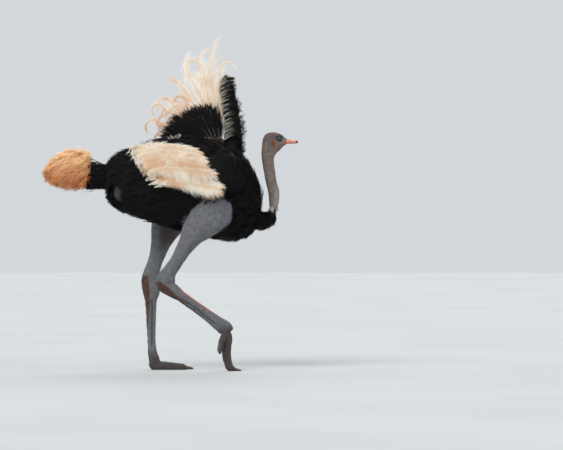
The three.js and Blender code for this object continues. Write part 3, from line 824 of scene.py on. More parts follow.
def planted(form, count, chance, depth, share=(0, 1), angle=(0, 360), keep=None):
    """Roots spread evenly over part of a form: their points, their facings and their places on its unwrap."""
    shares, angles = np.linspace(*share, CELLS + 1), np.radians(np.linspace(*angle, CELLS + 1))
    s, a = np.meshgrid(shares, angles, indexing="ij")
    points = form.point(np.clip(s, FIRST, LAST), a)
    along, around = np.diff(points, axis=0)[:, :-1], np.diff(points, axis=1)[:-1]
    heap = np.cumsum(np.linalg.norm(np.cross(along, around), axis=-1).ravel())
    cell = np.searchsorted(heap, (np.arange(count) + chance.random(count)) / count * heap[-1])
    i, j = np.divmod(cell, CELLS)
    place = mix(share[0], share[1], (i + chance.random(count)) / CELLS)
    turn = np.radians(mix(angle[0], angle[1], (j + chance.random(count)) / CELLS))
    root, facing = form.surface(place, turn, depth(form.point(place, turn)) if callable(depth) else depth)
    unwrap = MARGIN + (1 - 2 * MARGIN) * columns(place, np.mod(turn / (2 * np.pi), 1))
    kept = np.ones(count, bool) if keep is None else keep(root)
    return root[kept], facing[kept], unwrap[kept]


def lying(facing, flow):
    """The flow of the coat, laid along the surface."""
    return unit(flow - facing * (facing * flow).sum(-1, keepdims=True))


strand = sweep(np.zeros((1, 3)), (0, 0, 1), (1, 0, 0), np.array([60.0]), 4)
print("a strand of 60 mm that is pulled forward ends at", strand[0, -1].round(1).tolist())

# %% [markdown]
# ## The black coat
# The body feathers are planted on the sunken skin and lie towards the tail, steeper on the breast and the
# rump. They lift just enough to fill the solid's outline and shingle over one another. The coat parts over
# the thighs, which are bare, and over the patch at the rear of the flank, so a feather whose tip would
# cover them is shortened, or left out. Pale bristles stand where the coat ends on the neck, and are also
# painted highlights along that edge.

# %% Body feathers
THIGH_TOP = {"left": (975, 20), "right": (1000, 56)}  # height of the coat's edge, and its rise to the front
FLANK_OUT = 66  # the flank is bare only this far from the midplane


def thigh_shows(points, side, margin=0):
    x, y, z = points.T
    rows = np.array(list(leg_rows(THIGH, side)))[::-1]
    middle, ahead, behind = (np.interp(z, rows[:, 2], rows[:, column]) for column in (0, 3, 4))
    level, rise = THIGH_TOP[side]
    top = level + rise * ramp(x, 215, 262) + margin
    within = (x - middle < ahead + margin) & (x - middle > -behind - margin)
    return within & (z < top) & (y * HANDS[side] > 40)


def covered(points):
    x, y, z = points.T
    patch = (points - np.array(FLANK_CENTRE))[:, ::2] / np.array(FLANK_REACH)[::2]
    ragged = 1.7 + 0.6 * np.sin(x / 5) * np.cos(z / 7)
    bare = ((patch**2).sum(-1) < ragged) & (np.abs(y) > FLANK_OUT)
    for side in HANDS:
        bare |= thigh_shows(points, side)
    return ~bare


def body_flow(points):
    """Away from the neck's base on the breast, towards the tail elsewhere, and always a little downward."""
    x = points[:, 0]
    back = columns(-1, 0, -0.3 - 0.9 * ramp(-x, 180, 360))
    away = unit(points - (602, 0, 968)) + (-0.1, 0, -0.35)
    return mix(back, away, ramp(x, 400, 560)[:, None])


def combed(form, quills, chance, tip_depth, ruffle):
    """Quills laid back along the form: each rises from its root's depth to tip_depth at its tip."""
    spots, facings = form.nearest(quills)
    depths = -((quills - spots) * facings).sum(-1)
    share = np.linspace(0, 1, quills.shape[1])
    tips = tip_depth + chance.normal(0, ruffle, (len(quills), 1))
    wanted = mix(depths[:, :1], tips, share**0.8)
    return quills + facings * ((depths - wanted) * np.minimum(1, share * 3))[..., None]


def coat_over(coat, chance, form, count, flow, length, reach, depth, tip_depth=12, ruffle=5, barbs=14,
              weight=0.1, sway=0.12, keep=None, share=(0, 1), angle=(0, 360), steps=4, **look):
    """Feathers planted over a form, each lying along the flow and combed back towards the body. One whose end
    lies where `keep` says no is shortened, and if that does not help it is left out."""
    root, facing, patch = planted(form, count, chance, depth, share, angle, keep)
    lie = lying(facing, flow(root) if callable(flow) else np.array(flow, float))
    heading = lie + facing * 0.2 + chance.normal(0, sway, root.shape)
    pull = np.array((0, 0, -weight)) - facing * 0.2 + chance.normal(0, sway, root.shape)
    long = (length(root) if callable(length) else length) * chance.uniform(0.75, 1.2, len(root))
    quills = combed(form, sweep(root, heading, pull, long, steps), chance, tip_depth, ruffle)
    if keep is not None:
        for shorter in (0.6, 0.5):
            blocked = ~(keep(quills[:, -1]) & keep(quills[:, -2]))
            shares = np.tile(np.linspace(0, shorter, steps + 1), (blocked.sum(), 1))
            quills[blocked] = along_path(quills[blocked], shares)
        kept = keep(quills[:, -1]) & keep(quills[:, -2])
        quills, facing, patch = quills[kept], facing[kept], patch[kept]
    reaches = reach * chance.uniform(0.8, 1.2, len(quills))
    feathers(coat, chance, quills, facing, reaches, patch, barbs, **look)


def body_length(points):
    x, _, z = points.T
    return 150 - 60 * ramp(x, 430, 600) - 45 * ramp(-x, 250, 370) - 40 * ramp(900 - z, 0, 70)


chance = np.random.default_rng(11)
PARTS = {"rump": (1300, (0, 0.34)), "flanks": (1640, (0.34, 0.53)), "shoulders": (1700, (0.53, 0.72)),
         "breast": (1200, (0.72, 1))}
for name, (count, share) in PARTS.items():
    coat = Coat("coat_" + name, "plume_black")
    coat_over(coat, chance, trunk, count, body_flow, body_length, 44, trunk_depth, tip_depth=14, ruffle=6,
              keep=covered, share=share, barbs=19, thick=2.7, slant=27, fuzz=0.12)
tail_cover = Coat("coat_tail_root", "plume_black")
coat_over(tail_cover, chance, tail_root, 420, (-1, 0, -0.1), 92, 32, 22, tip_depth=6, thick=3, slant=30,
          fuzz=0.14)
coat_over(tail_cover, chance, tail_root, 150, (-1, 0, -0.1), 84, 30, 12, tip_depth=-34, ruffle=9,
          share=(0, 0.4), thick=3, slant=26, fuzz=0.14)

collar = Coat("coat_collar", "plume_black")


def collar_flow(points):
    return mix(np.array((-1, 0, -0.3)), np.array((0, 0, -1.0)), ramp(points[:, 2:], 950, 1000))


coat_over(collar, chance, neck, 820, collar_flow, 64, 24, 0, tip_depth=-14, ruffle=4, share=(0.01, 0.285),
          barbs=8, thick=2.8, slant=30, fuzz=0.16)
root, facing, patch = planted(neck, 190, chance, 0, (0.275, 0.315))
heading = np.array((0, 0, -1.0)) + facing * 0.7 + chance.normal(0, 0.25, root.shape)
bristle = sweep(root, heading, -facing * 0.5, chance.uniform(18, 34, len(root)), 3)
# Most bristles are pale: pale down that is also a painted highlight along the coat's edge.
tint, pale = chance.random(len(root)), (chance.random(len(root)) < 0.7) * 0.8
collar.ribbons(bristle, facing, 1.6, patch, 1, tint, pale)
print("bristles where the coat ends on the neck:", len(root))

# %% [markdown]
# ## The tail
# A cock's tail is a short black root that ends in a soft bunch of cinnamon plumes. The wind and their
# weight round them into a ball, so the plumes are planted over the bunch's form, lie backward and droop at
# the end. They grow in three layers, and none of them on the front of the ball, which is hidden in the
# root.

# %% Tail plumes
TAIL_LAYERS = [(58, 160, 110, 34, 8), (32, 480, 96, 18, 6), (20, 90, 60, 6, 8)]
ROOT_END = -452


def behind_root(points):
    return points[:, 0] < ROOT_END


for name, angle, hidden in (("upper", (-10, 190), ["tail_plumes"]), ("lower", (190, 350), [])):
    coat = Coat("tail_plumes_" + name, "plume_tail", *hidden)
    for depth, count, length, tip_depth, ruffle in TAIL_LAYERS:
        coat_over(coat, chance, tail_bunch, count, (-1, 0, -0.35), length, 50, depth, tip_depth=tip_depth,
                  ruffle=ruffle, keep=behind_root, share=(0, 0.95), angle=angle, barbs=20, thick=1.2,
                  weight=0.25, sway=0.3, fuzz=0.2, slant=24, steps=5, wind=(-0.2, 0, -0.5))
print("tail:", sum(len(triangles) for coat in coats[-2:] for triangles in coat.triangles), "triangles")

# %% [markdown]
# ## The great wing plumes
# Each wing plume is a quill that keeps nearly straight and hooks over at its tip. The raised wing's plumes
# stand in a fan with the light showing through their loose vanes. Those of the lowered wing lie over the
# flank, and the wind from behind throws their barbs forward and down across one another. A plume of the
# raised wing has two shorter quills beside its own, and one of the lowered wing is a sheaf of three.

# %% Plumes of the raised wing and of the lowered one
LEFT_PLUMES = [(168, -20, 150, 470), (155, -27, 185, 495), (139, -6, 140, 482), (125, -4, 135, 412),
               (115, 14, 30, 505), (105, 18, -50, 585), (101, 2, 150, 628), (104, 2, -95, 655),
               (97, -1, -35, 665), (99, 2, -80, 575), (94, -3, -150, 600)]  # heading, bend, curl and length
LEFT_WING = (318, 214, 1432)
LAYER, LAYERS = 9, 5
RIGHT_PLUMES = 8
QUILL_STEPS = 36


def layer_of(i):
    """How far across the wing a plume lies, so that neighbours do not run through one another."""
    return LAYER * (i % LAYERS - (LAYERS - 1) / 2)


def quill_path(root, heading, bend, curl, hook, length, surface):
    """A plume's quill: headings in degrees in the plane of the wing, 0 forward and 90 up. It bends evenly and
    curls beyond the share `hook`."""
    share = (np.arange(QUILL_STEPS) + 0.5) / QUILL_STEPS
    angle = np.radians(heading + bend * share + curl * np.clip((share - hook) / (1 - hook), 0, 1))
    x = root[0] + np.append(0, np.cumsum(np.cos(angle))) * length / QUILL_STEPS
    z = root[1] + np.append(0, np.cumsum(np.sin(angle))) * length / QUILL_STEPS
    return columns(x, surface(x, z), z)


def left_surface(x, z):
    """The raised wing's plane, which leans outward beyond the coverts."""
    return LEFT_WING[1] + 0.28 * np.maximum(0, np.hypot(x - LEFT_WING[0], z - LEFT_WING[2]) - 240)


def right_surface(x, z):
    """The lowered wing's plane, which leans over the flank."""
    return -226 - 0.34 * (1346 - z) - 0.05 * (340 - x)


def layered(path, offset, behind):
    """The path moved across the wing by the offset, and less so near its root, where the quills lie together.
    `behind` bows its middle out, behind the wing's arm."""
    share = np.linspace(0, 1, len(path))
    out = offset * mix(0.15, 1, ramp(share, 0, 0.6))
    out = out + behind * ramp(share, 0.02, 0.3) * ramp(1 - share, 0.1, 0.4)
    return path + out[:, None] * (0, 1, 0)


def plume(coat, chance, quills, facing, reach, barbs, column, **look):
    """Long quills of one plume as feathers, with every barb's patch up its own column of the map."""
    patch = columns(column + 0.03 * np.arange(len(quills)), 0.03)
    feathers(coat, chance, np.array(quills), unit(np.array(facing, float)), reach, patch, barbs,
             own_patches=np.array((0, 0.94)), **look)


for i, (heading, bend, curl, length) in enumerate(LEFT_PLUMES):
    share = i / (len(LEFT_PLUMES) - 1)
    root = mix(268, 352, share), mix(1448, 1426, share)
    coat = Coat(f"plume_left_{i + 1:02d}", "plume_white", f"wing_left_plume_{i + 1:02d}")
    behind, upright = 38 * ramp(i, 5.5, 8), ramp(i, 3.5, 6.5)
    offset = layer_of(i) * (1 - 0.6 * ramp(i, 5.5, 8))
    main = layered(quill_path(root, heading, bend, curl, 0.76, length, left_surface), offset, behind)
    others = []
    for turn, size, side in ((6, 0.84, 7), (-4, 0.76, mix(-7, 8, upright))):
        path = quill_path(root, heading + turn, bend + chance.normal(0, 6), curl * size, 0.72, length * size,
                          left_surface)
        others.append(layered(path, offset + side, behind))
    look = {"thick": 0.8, "steps": 6, "slant": 32, "fade": 4, "forward": 0.45, "tip": mix(0.5, 0.25, upright)}
    look["tint"] = np.clip(0.1 + 0.9 * share, 0, 0.9)
    look["wind"] = mix(0.2, 0.7, upright), 0.4 * share**2, mix(-0.6, -0.3, upright)
    look["sides"] = mix(0.9, 0.3, upright), mix(0.45, 1, upright)
    plume(coat, chance, [main], (0, -1, 0), 92 - 26 * share**3, 330, 0.1, quill_width=4.2, fuzz=0.05, lock=11,
          stray=0.16, **look)
    plume(coat, chance, others, (0, -1, 0), 78 - 20 * share**3, 170, 0.4, quill_width=2.2, fuzz=0.06, lock=8,
          stray=0.2, **look)

FLANK_FACING = (0.05, -1, 0.34)
# x, the way that the wind lays a barb there in degrees, and how hard it blows
BLOWN = [(-260, -170, 0.3), (-150, -60, 0.4), (-70, -30, 1.6), (40, -50, 2.6), (160, -60, 2.6),
         (260, -42, 2.6), (360, -28, 2.4)]


def flank_wind(points):
    x, angle, force = np.array(BLOWN, float).T
    across, upper = points[..., 0], ramp(points[..., 2], 1290, 1400) * (points[..., 0] > 60)
    way, push = np.radians(np.interp(across, x, angle) + 22 * upper), np.interp(across, x, force)
    return push[..., None] * columns(np.cos(way), -0.02, np.sin(way))


for i in range(RIGHT_PLUMES):
    coat = Coat(f"plume_right_{i + 1}", "plume_white", f"wing_right_plume_{i + 1}")
    quills = []
    for shift in (0, -0.36, 0.33):
        share = np.clip((i + shift) / (RIGHT_PLUMES - 1), 0, 1)
        root = mix(322, 366, share), mix(1346, 1122, share)
        length = mix(540, 470, share) * (1 - 0.25 * abs(shift))
        path = quill_path(root, mix(166, 163, share) + 5 * shift, 18, mix(10, 30, share), 0.7, length,
                          right_surface)
        bare = 0.03 + 0.2 * (1 - share) ** 2
        path = along_path(path[None], np.linspace(bare, 1, QUILL_STEPS)[None])[0]
        quills.append(path - (0, layer_of(i) + 8 * shift, 0))
    share = i / (RIGHT_PLUMES - 1)
    tint = np.clip(mix(0.9, 0.1, share) + chance.normal(0, 0.2, 3), 0, 1)
    plume(coat, chance, quills, FLANK_FACING, 118, 260, 0.1, thick=1.15, steps=6, slant=105, wind=flank_wind,
          quill_width=1.6, fuzz=0.08, tip=mix(0.5, 0.97, share), fade=mix(3, 1.5, share), forward=0.0,
          first=0.0, sides=(1, mix(0.35, 0.8, share)), tint=tint, lock=9, stray=0.7)
print("great plumes:", len(LEFT_PLUMES), "on the raised wing and", RIGHT_PLUMES, "on the lowered one")

# %% [markdown]
# ## Coverts and the leading edge
# Black coverts hide the quills' bases. On the raised wing they are broad stiff feathers in four rows, set
# like a fan on both faces of the wing, each with a pale shaft. Ragged black feathers climb the leading edge,
# and their barbs curl forward off it. Pale streaks over them, and a few pale barbs, are painted highlights
# along the barbs' edges.

# %% Black feathers of the raised wing
COVERT_ROWS = [(14, 1.0), (11, 0.8), (9, 0.6), (7, 0.42)]  # how many in the row, and how long
COVERT_ROOT = 24
coverts = Coat("coverts_left", "plume_black", "wing_left_coverts")
for face in (-1, 1):
    for row, (count, size) in enumerate(COVERT_ROWS):
        share = (np.arange(count) + 0.5 * (row % 2)) / (count - 0.5)
        heading = np.radians(mix(170, 97, share))
        way = columns(np.cos(heading), 0, np.sin(heading))
        root = np.array(LEFT_WING) + way * COVERT_ROOT + (-30, face * (32 + 5 * row), -6)
        root = root + share[:, None] ** 2 * (52, 0, 0)
        pull = way * 0.2 + chance.normal(0, 0.08, way.shape) * (1, 0.3, 1)
        length = (mix(302, 200, share) - 16) * size * chance.uniform(0.96, 1.05, count)
        quills = sweep(root, way, pull, length, 10)
        facing = np.array((0, face, 0))
        patch = columns(share * 0.8 + 0.1, 0.08 + 0.1 * row + 0.45 * (face > 0))
        feathers(coverts, chance, quills, facing, 62, patch, 96, thick=3.4, slant=36, fuzz=0.05, tip=0.4,
                 fade=6, forward=0.6, quill_width=0.1, lock=6, stray=0.14)
        shafts = quills + facing * 2.5
        coverts.ribbons(shafts, facing, 2, patch, 0, chance.random(count), 0.3 * ramp(share, 0.3, 0.7))

coat_over(coverts, chance, scapular, 420, (-0.7, 0, 0.75), 62, 34, 14, tip_depth=2, thick=3, slant=30,
          fuzz=0.14)

leading = Coat("leading_edge_left", "plume_black", "wing_left_arm")
coat_over(leading, chance, left_arm, 560, (0.1, 0, 1), 66, 32, 16, tip_depth=5, ruffle=3, barbs=12,
          weight=-0.1, thick=2.6, forward=0.4, wind=(0.5, 0, 0.05), sway=0.15, fuzz=0.16, slant=30)
# A few of these barbs are pale, as painted highlights.
coat_over(leading, chance, left_arm, 110, (0.9, 0, 0.5), 66, 26, 12, tip_depth=-20, ruffle=9,
          angle=(235, 305), barbs=9, thick=1.6, barb_pale=0.05, forward=0.2, wind=(0.9, 0, -0.5), sway=0.4)
BLADES, HIGHLIGHT_STREAKS = 17, 6
for face in (-1, 1):
    share = mix(0.3, 0.93, np.arange(BLADES) / (BLADES - 1))
    height = mix(LEFT_ARM[0][2], LEFT_ARM[-1][2], share)
    rows = np.array(LEFT_ARM, float)
    middle, y, half, thin = (np.interp(height, rows[:, 2], rows[:, column]) for column in (0, 1, 4, 5))
    root = columns(middle - 0.8 * half, y + face * (thin + 1), height)
    root = root + chance.normal(0, 3, (BLADES, 3)) * (1, 0, 1)
    out = (0, face, 0)
    patch = columns(share, 0.25 + 0.25 * face)
    heading = np.array((0.5, 0.05 * face, 1.0)) + chance.normal(0, 0.06, root.shape)
    quills = sweep(root, heading, (1.5, 0, -0.9), mix(104, 84, share), 8)
    feathers(leading, chance, quills, out, 34, patch, 60, thick=2.2, slant=30, fuzz=0.06, tip=0.4, steps=3,
             quill_width=0.5, forward=0.7)
    # Pale ribbons over the black, as painted highlights along the barbs' edges.
    for _ in range(HIGHLIGHT_STREAKS):
        start = root + (-4, 13 * face, 4) + chance.normal(0, 2.5, root.shape) * (1, 0, 1)
        heading = np.array((0.7, 0, 1.0)) + chance.normal(0, 0.14, root.shape)
        highlight_streak = sweep(start, heading, (0.7, 0, -0.6), chance.uniform(34, 84, BLADES), 5)
        leading.ribbons(highlight_streak, out, 1.5, patch, 0, chance.random(BLADES), chance.uniform(0.25, 0.95, BLADES))
print("coverts:", 2 * sum(count for count, _ in COVERT_ROWS), "and blades on the leading edge:", 2 * BLADES)

# %% [markdown]
# ## The lowered wing's arm
# The arm of the lowered wing lies against the breast, and its round form must not show through the coat. It
# has its own feathers on its outer side only. Others root on the trunk above it and hang down over it, and
# a last few root on its rear and lie back over the flank.

# %% Black feathers of the lowered wing
ARM_TOP = [(290, 1290), (322, 1318), (370, 1364), (420, 1364), (468, 1338), (506, 1302), (530, 1270)]
ARM_REAR = 385
shoulder = Coat("coat_shoulder_right", "plume_black", "wing_right_arm")


def on_the_outside(points):
    x, y, _ = points.T
    rows = np.array(RIGHT_ARM, float)
    middle, half = (np.interp(x, rows[:, 0], rows[:, column]) for column in (1, 5))
    return y < middle + half * np.interp(x, [420, 470], [-0.12, 0.6])


def at_the_rear(points):
    return on_the_outside(points) & (points[:, 0] < ARM_REAR)


def above_the_arm(points):
    x, y, z = points.T
    over = z - np.interp(x, *np.array(ARM_TOP, float).T)
    return (y < 0) & (x > 280) & (x < 530) & (over > -30) & (over < 60)


def draped(roots, form, spread, heading, fall, tip_depth, lift):
    """Feathers from these planted roots that hang over another form; `lift` turns their vanes."""
    root, facing, patch = roots
    way = chance.normal(0, spread, root.shape) + heading
    pull = chance.normal(0, 0.1, root.shape) + (0, 0, fall)
    hanging = sweep(root, way, pull, chance.uniform(90, 150, len(root)), 5)
    quills = combed(form, hanging, chance, tip_depth, 7)
    reaches = 38 * chance.uniform(0.8, 1.2, len(root))
    feathers(shoulder, chance, quills, unit(facing + (0, lift, 0)), reaches, patch, 15, thick=3.2, slant=28,
             fuzz=0.14)
    return len(root)


coat_over(shoulder, chance, right_arm, 620, (-0.25, 0, -1), 84, 34, 10, tip_depth=5, keep=on_the_outside,
          thick=3.2, slant=30, fuzz=0.14)
over_the_arm = draped(planted(trunk, 4200, chance, 26, (0.45, 0.85), keep=above_the_arm), right_arm, 0.2,
                      (-0.5, -0.7, -0.6), -0.5, 0, -1)
over_the_flank = draped(planted(right_arm, 420, chance, 6, (0, 0.5), keep=at_the_rear), trunk, 0.15,
                        (-1, 0.1, -0.5), -0.3, 4, -0.5)
print("feathers that hang over the arm:", over_the_arm, "and over the flank behind it:", over_the_flank)

# %% [markdown]
# ## Pale bases, down and lashes
# Between the coverts and the back a row of pinkish quill bases shows, and a few white tips stick out of the
# back. Neck and head carry only short hair-like down, denser on the crown, with a rusty tuft over each ear
# and black lashes along the upper lids.

# %% Quill bases, down, ear tufts and lashes
# the row's two ends in x and z, its y, how many and how long, their tint and their place on the map
PINK_BASES = ((258, 1450), (360, 1422), 160, 20, 20, 0.1, 0.2)
WHITE_TIPS = ((37, 1438), (94, 1448), -62, 9, 26, 1.0, 0.6)
bases = Coat("quill_bases", "plume_white")
for start, end, y, count, length, tint, up_the_map in (PINK_BASES, WHITE_TIPS):
    share = np.arange(count) / (count - 1)
    root = columns(mix(start[0], end[0], share), y, mix(start[1], end[1], share))
    heading = columns(mix(-0.7, 0.3, share), -0.35, 1.0) + chance.normal(0, 0.35, root.shape)
    patch = columns(0.1 + 0.8 * share, up_the_map)
    pull = chance.normal(0, 0.3, root.shape)
    quills = sweep(root, heading, pull, chance.uniform(0.7, 1.3, count) * length, 3)
    feathers(bases, chance, quills, (0, -1, 0.2), 8, patch, 7, thick=1.4, quill_width=2, tint=tint)

down = Coat("down_neck_and_head", "skin_head")


def hairs(form, count, share, angle, length, width, flow, pale, keep=None):
    root, facing, patch = planted(form, count, chance, 0.6, share, angle, keep)
    n = len(root)
    heading = lying(facing, np.array(flow, float)) + facing * 0.5 + chance.normal(0, 0.25, root.shape)
    path = sweep(root, heading, -facing * 0.35, chance.uniform(0.6, 1.3, n) * length, 3)
    look = unit(facing + chance.normal(0, 0.6, root.shape))
    down.ribbons(path, look, width, patch, 0, chance.random(n), (chance.random(n) < pale) * 1.0)


def off_the_face(points):
    apart = [np.linalg.norm((points - eye_centre(hand)) * (1, 0.4, 1), axis=1) for hand in (-1, 1)]
    return (np.minimum(*apart) > 21) & (points[:, 0] < 742)


hairs(neck, 3000, (0.3, 1), (0, 360), 6, 0.45, (0, 0, -1), 0.05)
hairs(head, 3600, (0, 1), (0, 180), 5, 0.5, (-1, 0, -0.2), 0.05, off_the_face)
hairs(head, 900, (0, 1), (180, 360), 5, 0.45, (-1, 0, -0.5), 0.25, off_the_face)

EAR_HAIRS, LASHES = 70, 44
ears = Coat("ear_tufts", "skin_head")
lashes = Coat("lashes", "skin_head")


def strands(coat, hand, path, facing, width, turn):
    """Single strands set round an ear or an eye, with their places on the map round a point for each side."""
    patch = columns(0.5 + 0.2 * hand + 0.1 * np.cos(turn), 0.5 + 0.1 * np.sin(turn))
    coat.ribbons(path, facing, width, patch, 0, chance.random(len(turn)), 0)


for hand in HANDS.values():
    turn = chance.uniform(0, 2 * np.pi, EAR_HAIRS)
    root = columns(EAR[0] + 7 * np.cos(turn), 36.5 * hand, EAR[2] + 11 * np.sin(turn))
    heading = columns(-np.cos(turn) * 0.4 - 0.5, 0.55 * hand, -np.sin(turn) * 0.4 - 0.2)
    path = sweep(root, heading, chance.normal(0, 0.3, root.shape), chance.uniform(6, 12, EAR_HAIRS), 3)
    strands(ears, hand, path, (0, hand, 0), 1.1, turn)

    turn = np.radians(np.linspace(8, 172, LASHES)) + chance.normal(0, 0.02, LASHES)
    polar = lid_opening(turn)
    out = columns(np.sin(polar) * np.cos(turn), hand * np.cos(polar), np.sin(polar) * np.sin(turn))
    root = eye_centre(hand) + out * (EYE_RADIUS + LID_THICK + 1)
    heading = out * 0.4 + columns(np.cos(turn) * 0.7, 0.9 * hand, 0.25)
    path = sweep(root, heading, (0, 0, 0.8), chance.uniform(7, 11, LASHES), 4)
    strands(lashes, hand, path, out, 1, turn)

coat_pieces = {coat.name: coat.build() for coat in coats}
total = sum(len(piece.data.polygons) for piece in coat_pieces.values())
print("coat:", total, "triangles in", len(coat_pieces), "pieces")

# %% [markdown]
# ## Writing a finish
# Finishes are worked out in the shader from places and shades, never from pictures. To write them as plain
# sums, one small class wraps a socket and overloads Python's operators, so that an expression on values
# adds its Math nodes. Colours are only ever mixed, because a Math node would turn them grey.

# %% Sockets that can be added and multiplied, and a finish made of them
class Value:
    """A socket in a finish. Python's operators on it add Math nodes."""

    def __init__(self, finish, socket):
        self.finish, self.socket = finish, socket

    def math(self, operation, *values):
        return self.finish.node("Math", {"operation": operation}, dict(enumerate(values)))

    def __add__(self, other):
        return self.math("ADD", self, other)

    def __sub__(self, other):
        return self.math("SUBTRACT", self, other)

    def __rsub__(self, other):
        return self.math("SUBTRACT", other, self)

    def __mul__(self, other):
        return self.math("MULTIPLY", self, other)

    def __truediv__(self, other):
        return self.math("DIVIDE", self, other)

    def __pow__(self, other):
        return self.math("POWER", self, other)

    __radd__, __rmul__ = __add__, __mul__

    def over(self, low, high):
        """0 below low, 1 above high and smooth between them."""
        return self.finish.node("MapRange", {"interpolation_type": "SMOOTHSTEP"}, {0: self, 1: low, 2: high})


def paint(hex_colour):
    """A colour as painters write it, in the linear light that shaders work in."""
    parts = np.array([int(hex_colour[i:i + 2], 16) / 255 for i in (1, 3, 5)])
    return (*np.where(parts < 0.04045, parts / 12.92, ((parts + 0.055) / 1.055) ** 2.4), 1.0)


class Finish:
    """A material built from nodes round one Principled shader, whose constants are set here."""

    def __init__(self, name, **constants):
        self.material = bpy.data.materials.new(name)
        self.material.use_nodes = True
        self.tree = self.material.node_tree
        self.shader = self.tree.nodes["Principled BSDF"]
        for socket, value in constants.items():
            self.shader.inputs[socket.replace("_", " ")].default_value = value
        self.spot = self.node("TexCoord", output="Object")

    def node(self, kind, settings=None, inputs=None, output=0):
        made = self.tree.nodes.new("ShaderNode" + kind)
        for name, value in (settings or {}).items():
            setattr(made, name, value)
        for name, value in (inputs or {}).items():
            self.feed(made.inputs[name], value)
        return Value(self, made.outputs[output])

    def feed(self, socket, value):
        if isinstance(value, Value):
            self.tree.links.new(value.socket, socket)
        else:
            socket.default_value = value

    def give(self, socket, value):
        self.feed(self.shader.inputs[socket], value)
        return self

    def shade(self, name):
        return self.node("Attribute", {"attribute_name": name}, output="Fac")

    def stretched(self, stretch):
        return self.node("VectorMath", {"operation": "MULTIPLY"}, {0: self.spot, 1: stretch})

    def noise(self, scale, detail=3, stretch=(1, 1, 1), low=0.35, high=0.65):
        """Soft clouds, `scale` to the metre, from 0 to 1."""
        spot = self.stretched(stretch)
        return self.node("TexNoise", None, {"Vector": spot, "Scale": scale, "Detail": detail}).over(low, high)

    def wrinkles(self, scale, stretch=(1, 1, 1)):
        """0 along winding lines, and more the further from them."""
        spot = self.stretched(stretch)
        clouds = self.node("TexNoise", None, {"Vector": spot, "Scale": scale, "Detail": 4.0})
        return (clouds - 0.5).math("ABSOLUTE", clouds - 0.5)

    def cells(self, scale):
        return self.node("TexVoronoi", {"feature": "DISTANCE_TO_EDGE"}, {"Vector": self.spot, "Scale": scale})

    def place(self, axis):
        """The place along an axis of the frame, in metres."""
        return self.node("SeparateXYZ", None, {0: self.spot}, axis)

    def mixed(self, a, b, factor):
        """Colour a, turning into b as the factor goes from 0 to 1."""
        return self.node("Mix", {"data_type": "RGBA"}, {0: factor, 6: a, 7: b}, output=2)

    def glazed(self, colour, glazes):
        """The colour under glazes: each a painter's colour, and how strongly it covers what lies below."""
        for hex_colour, strength in glazes.items():
            colour = self.mixed(colour, paint(hex_colour), strength)
        return colour

    def bump(self, height, depth, strength=0.6):
        made = self.node("Bump", None, {"Height": height, "Distance": depth, "Strength": strength})
        return self.give("Normal", made)

    def on(self, *pieces):
        for piece in pieces:
            piece.data.materials.clear()
            piece.data.materials.append(self.material)
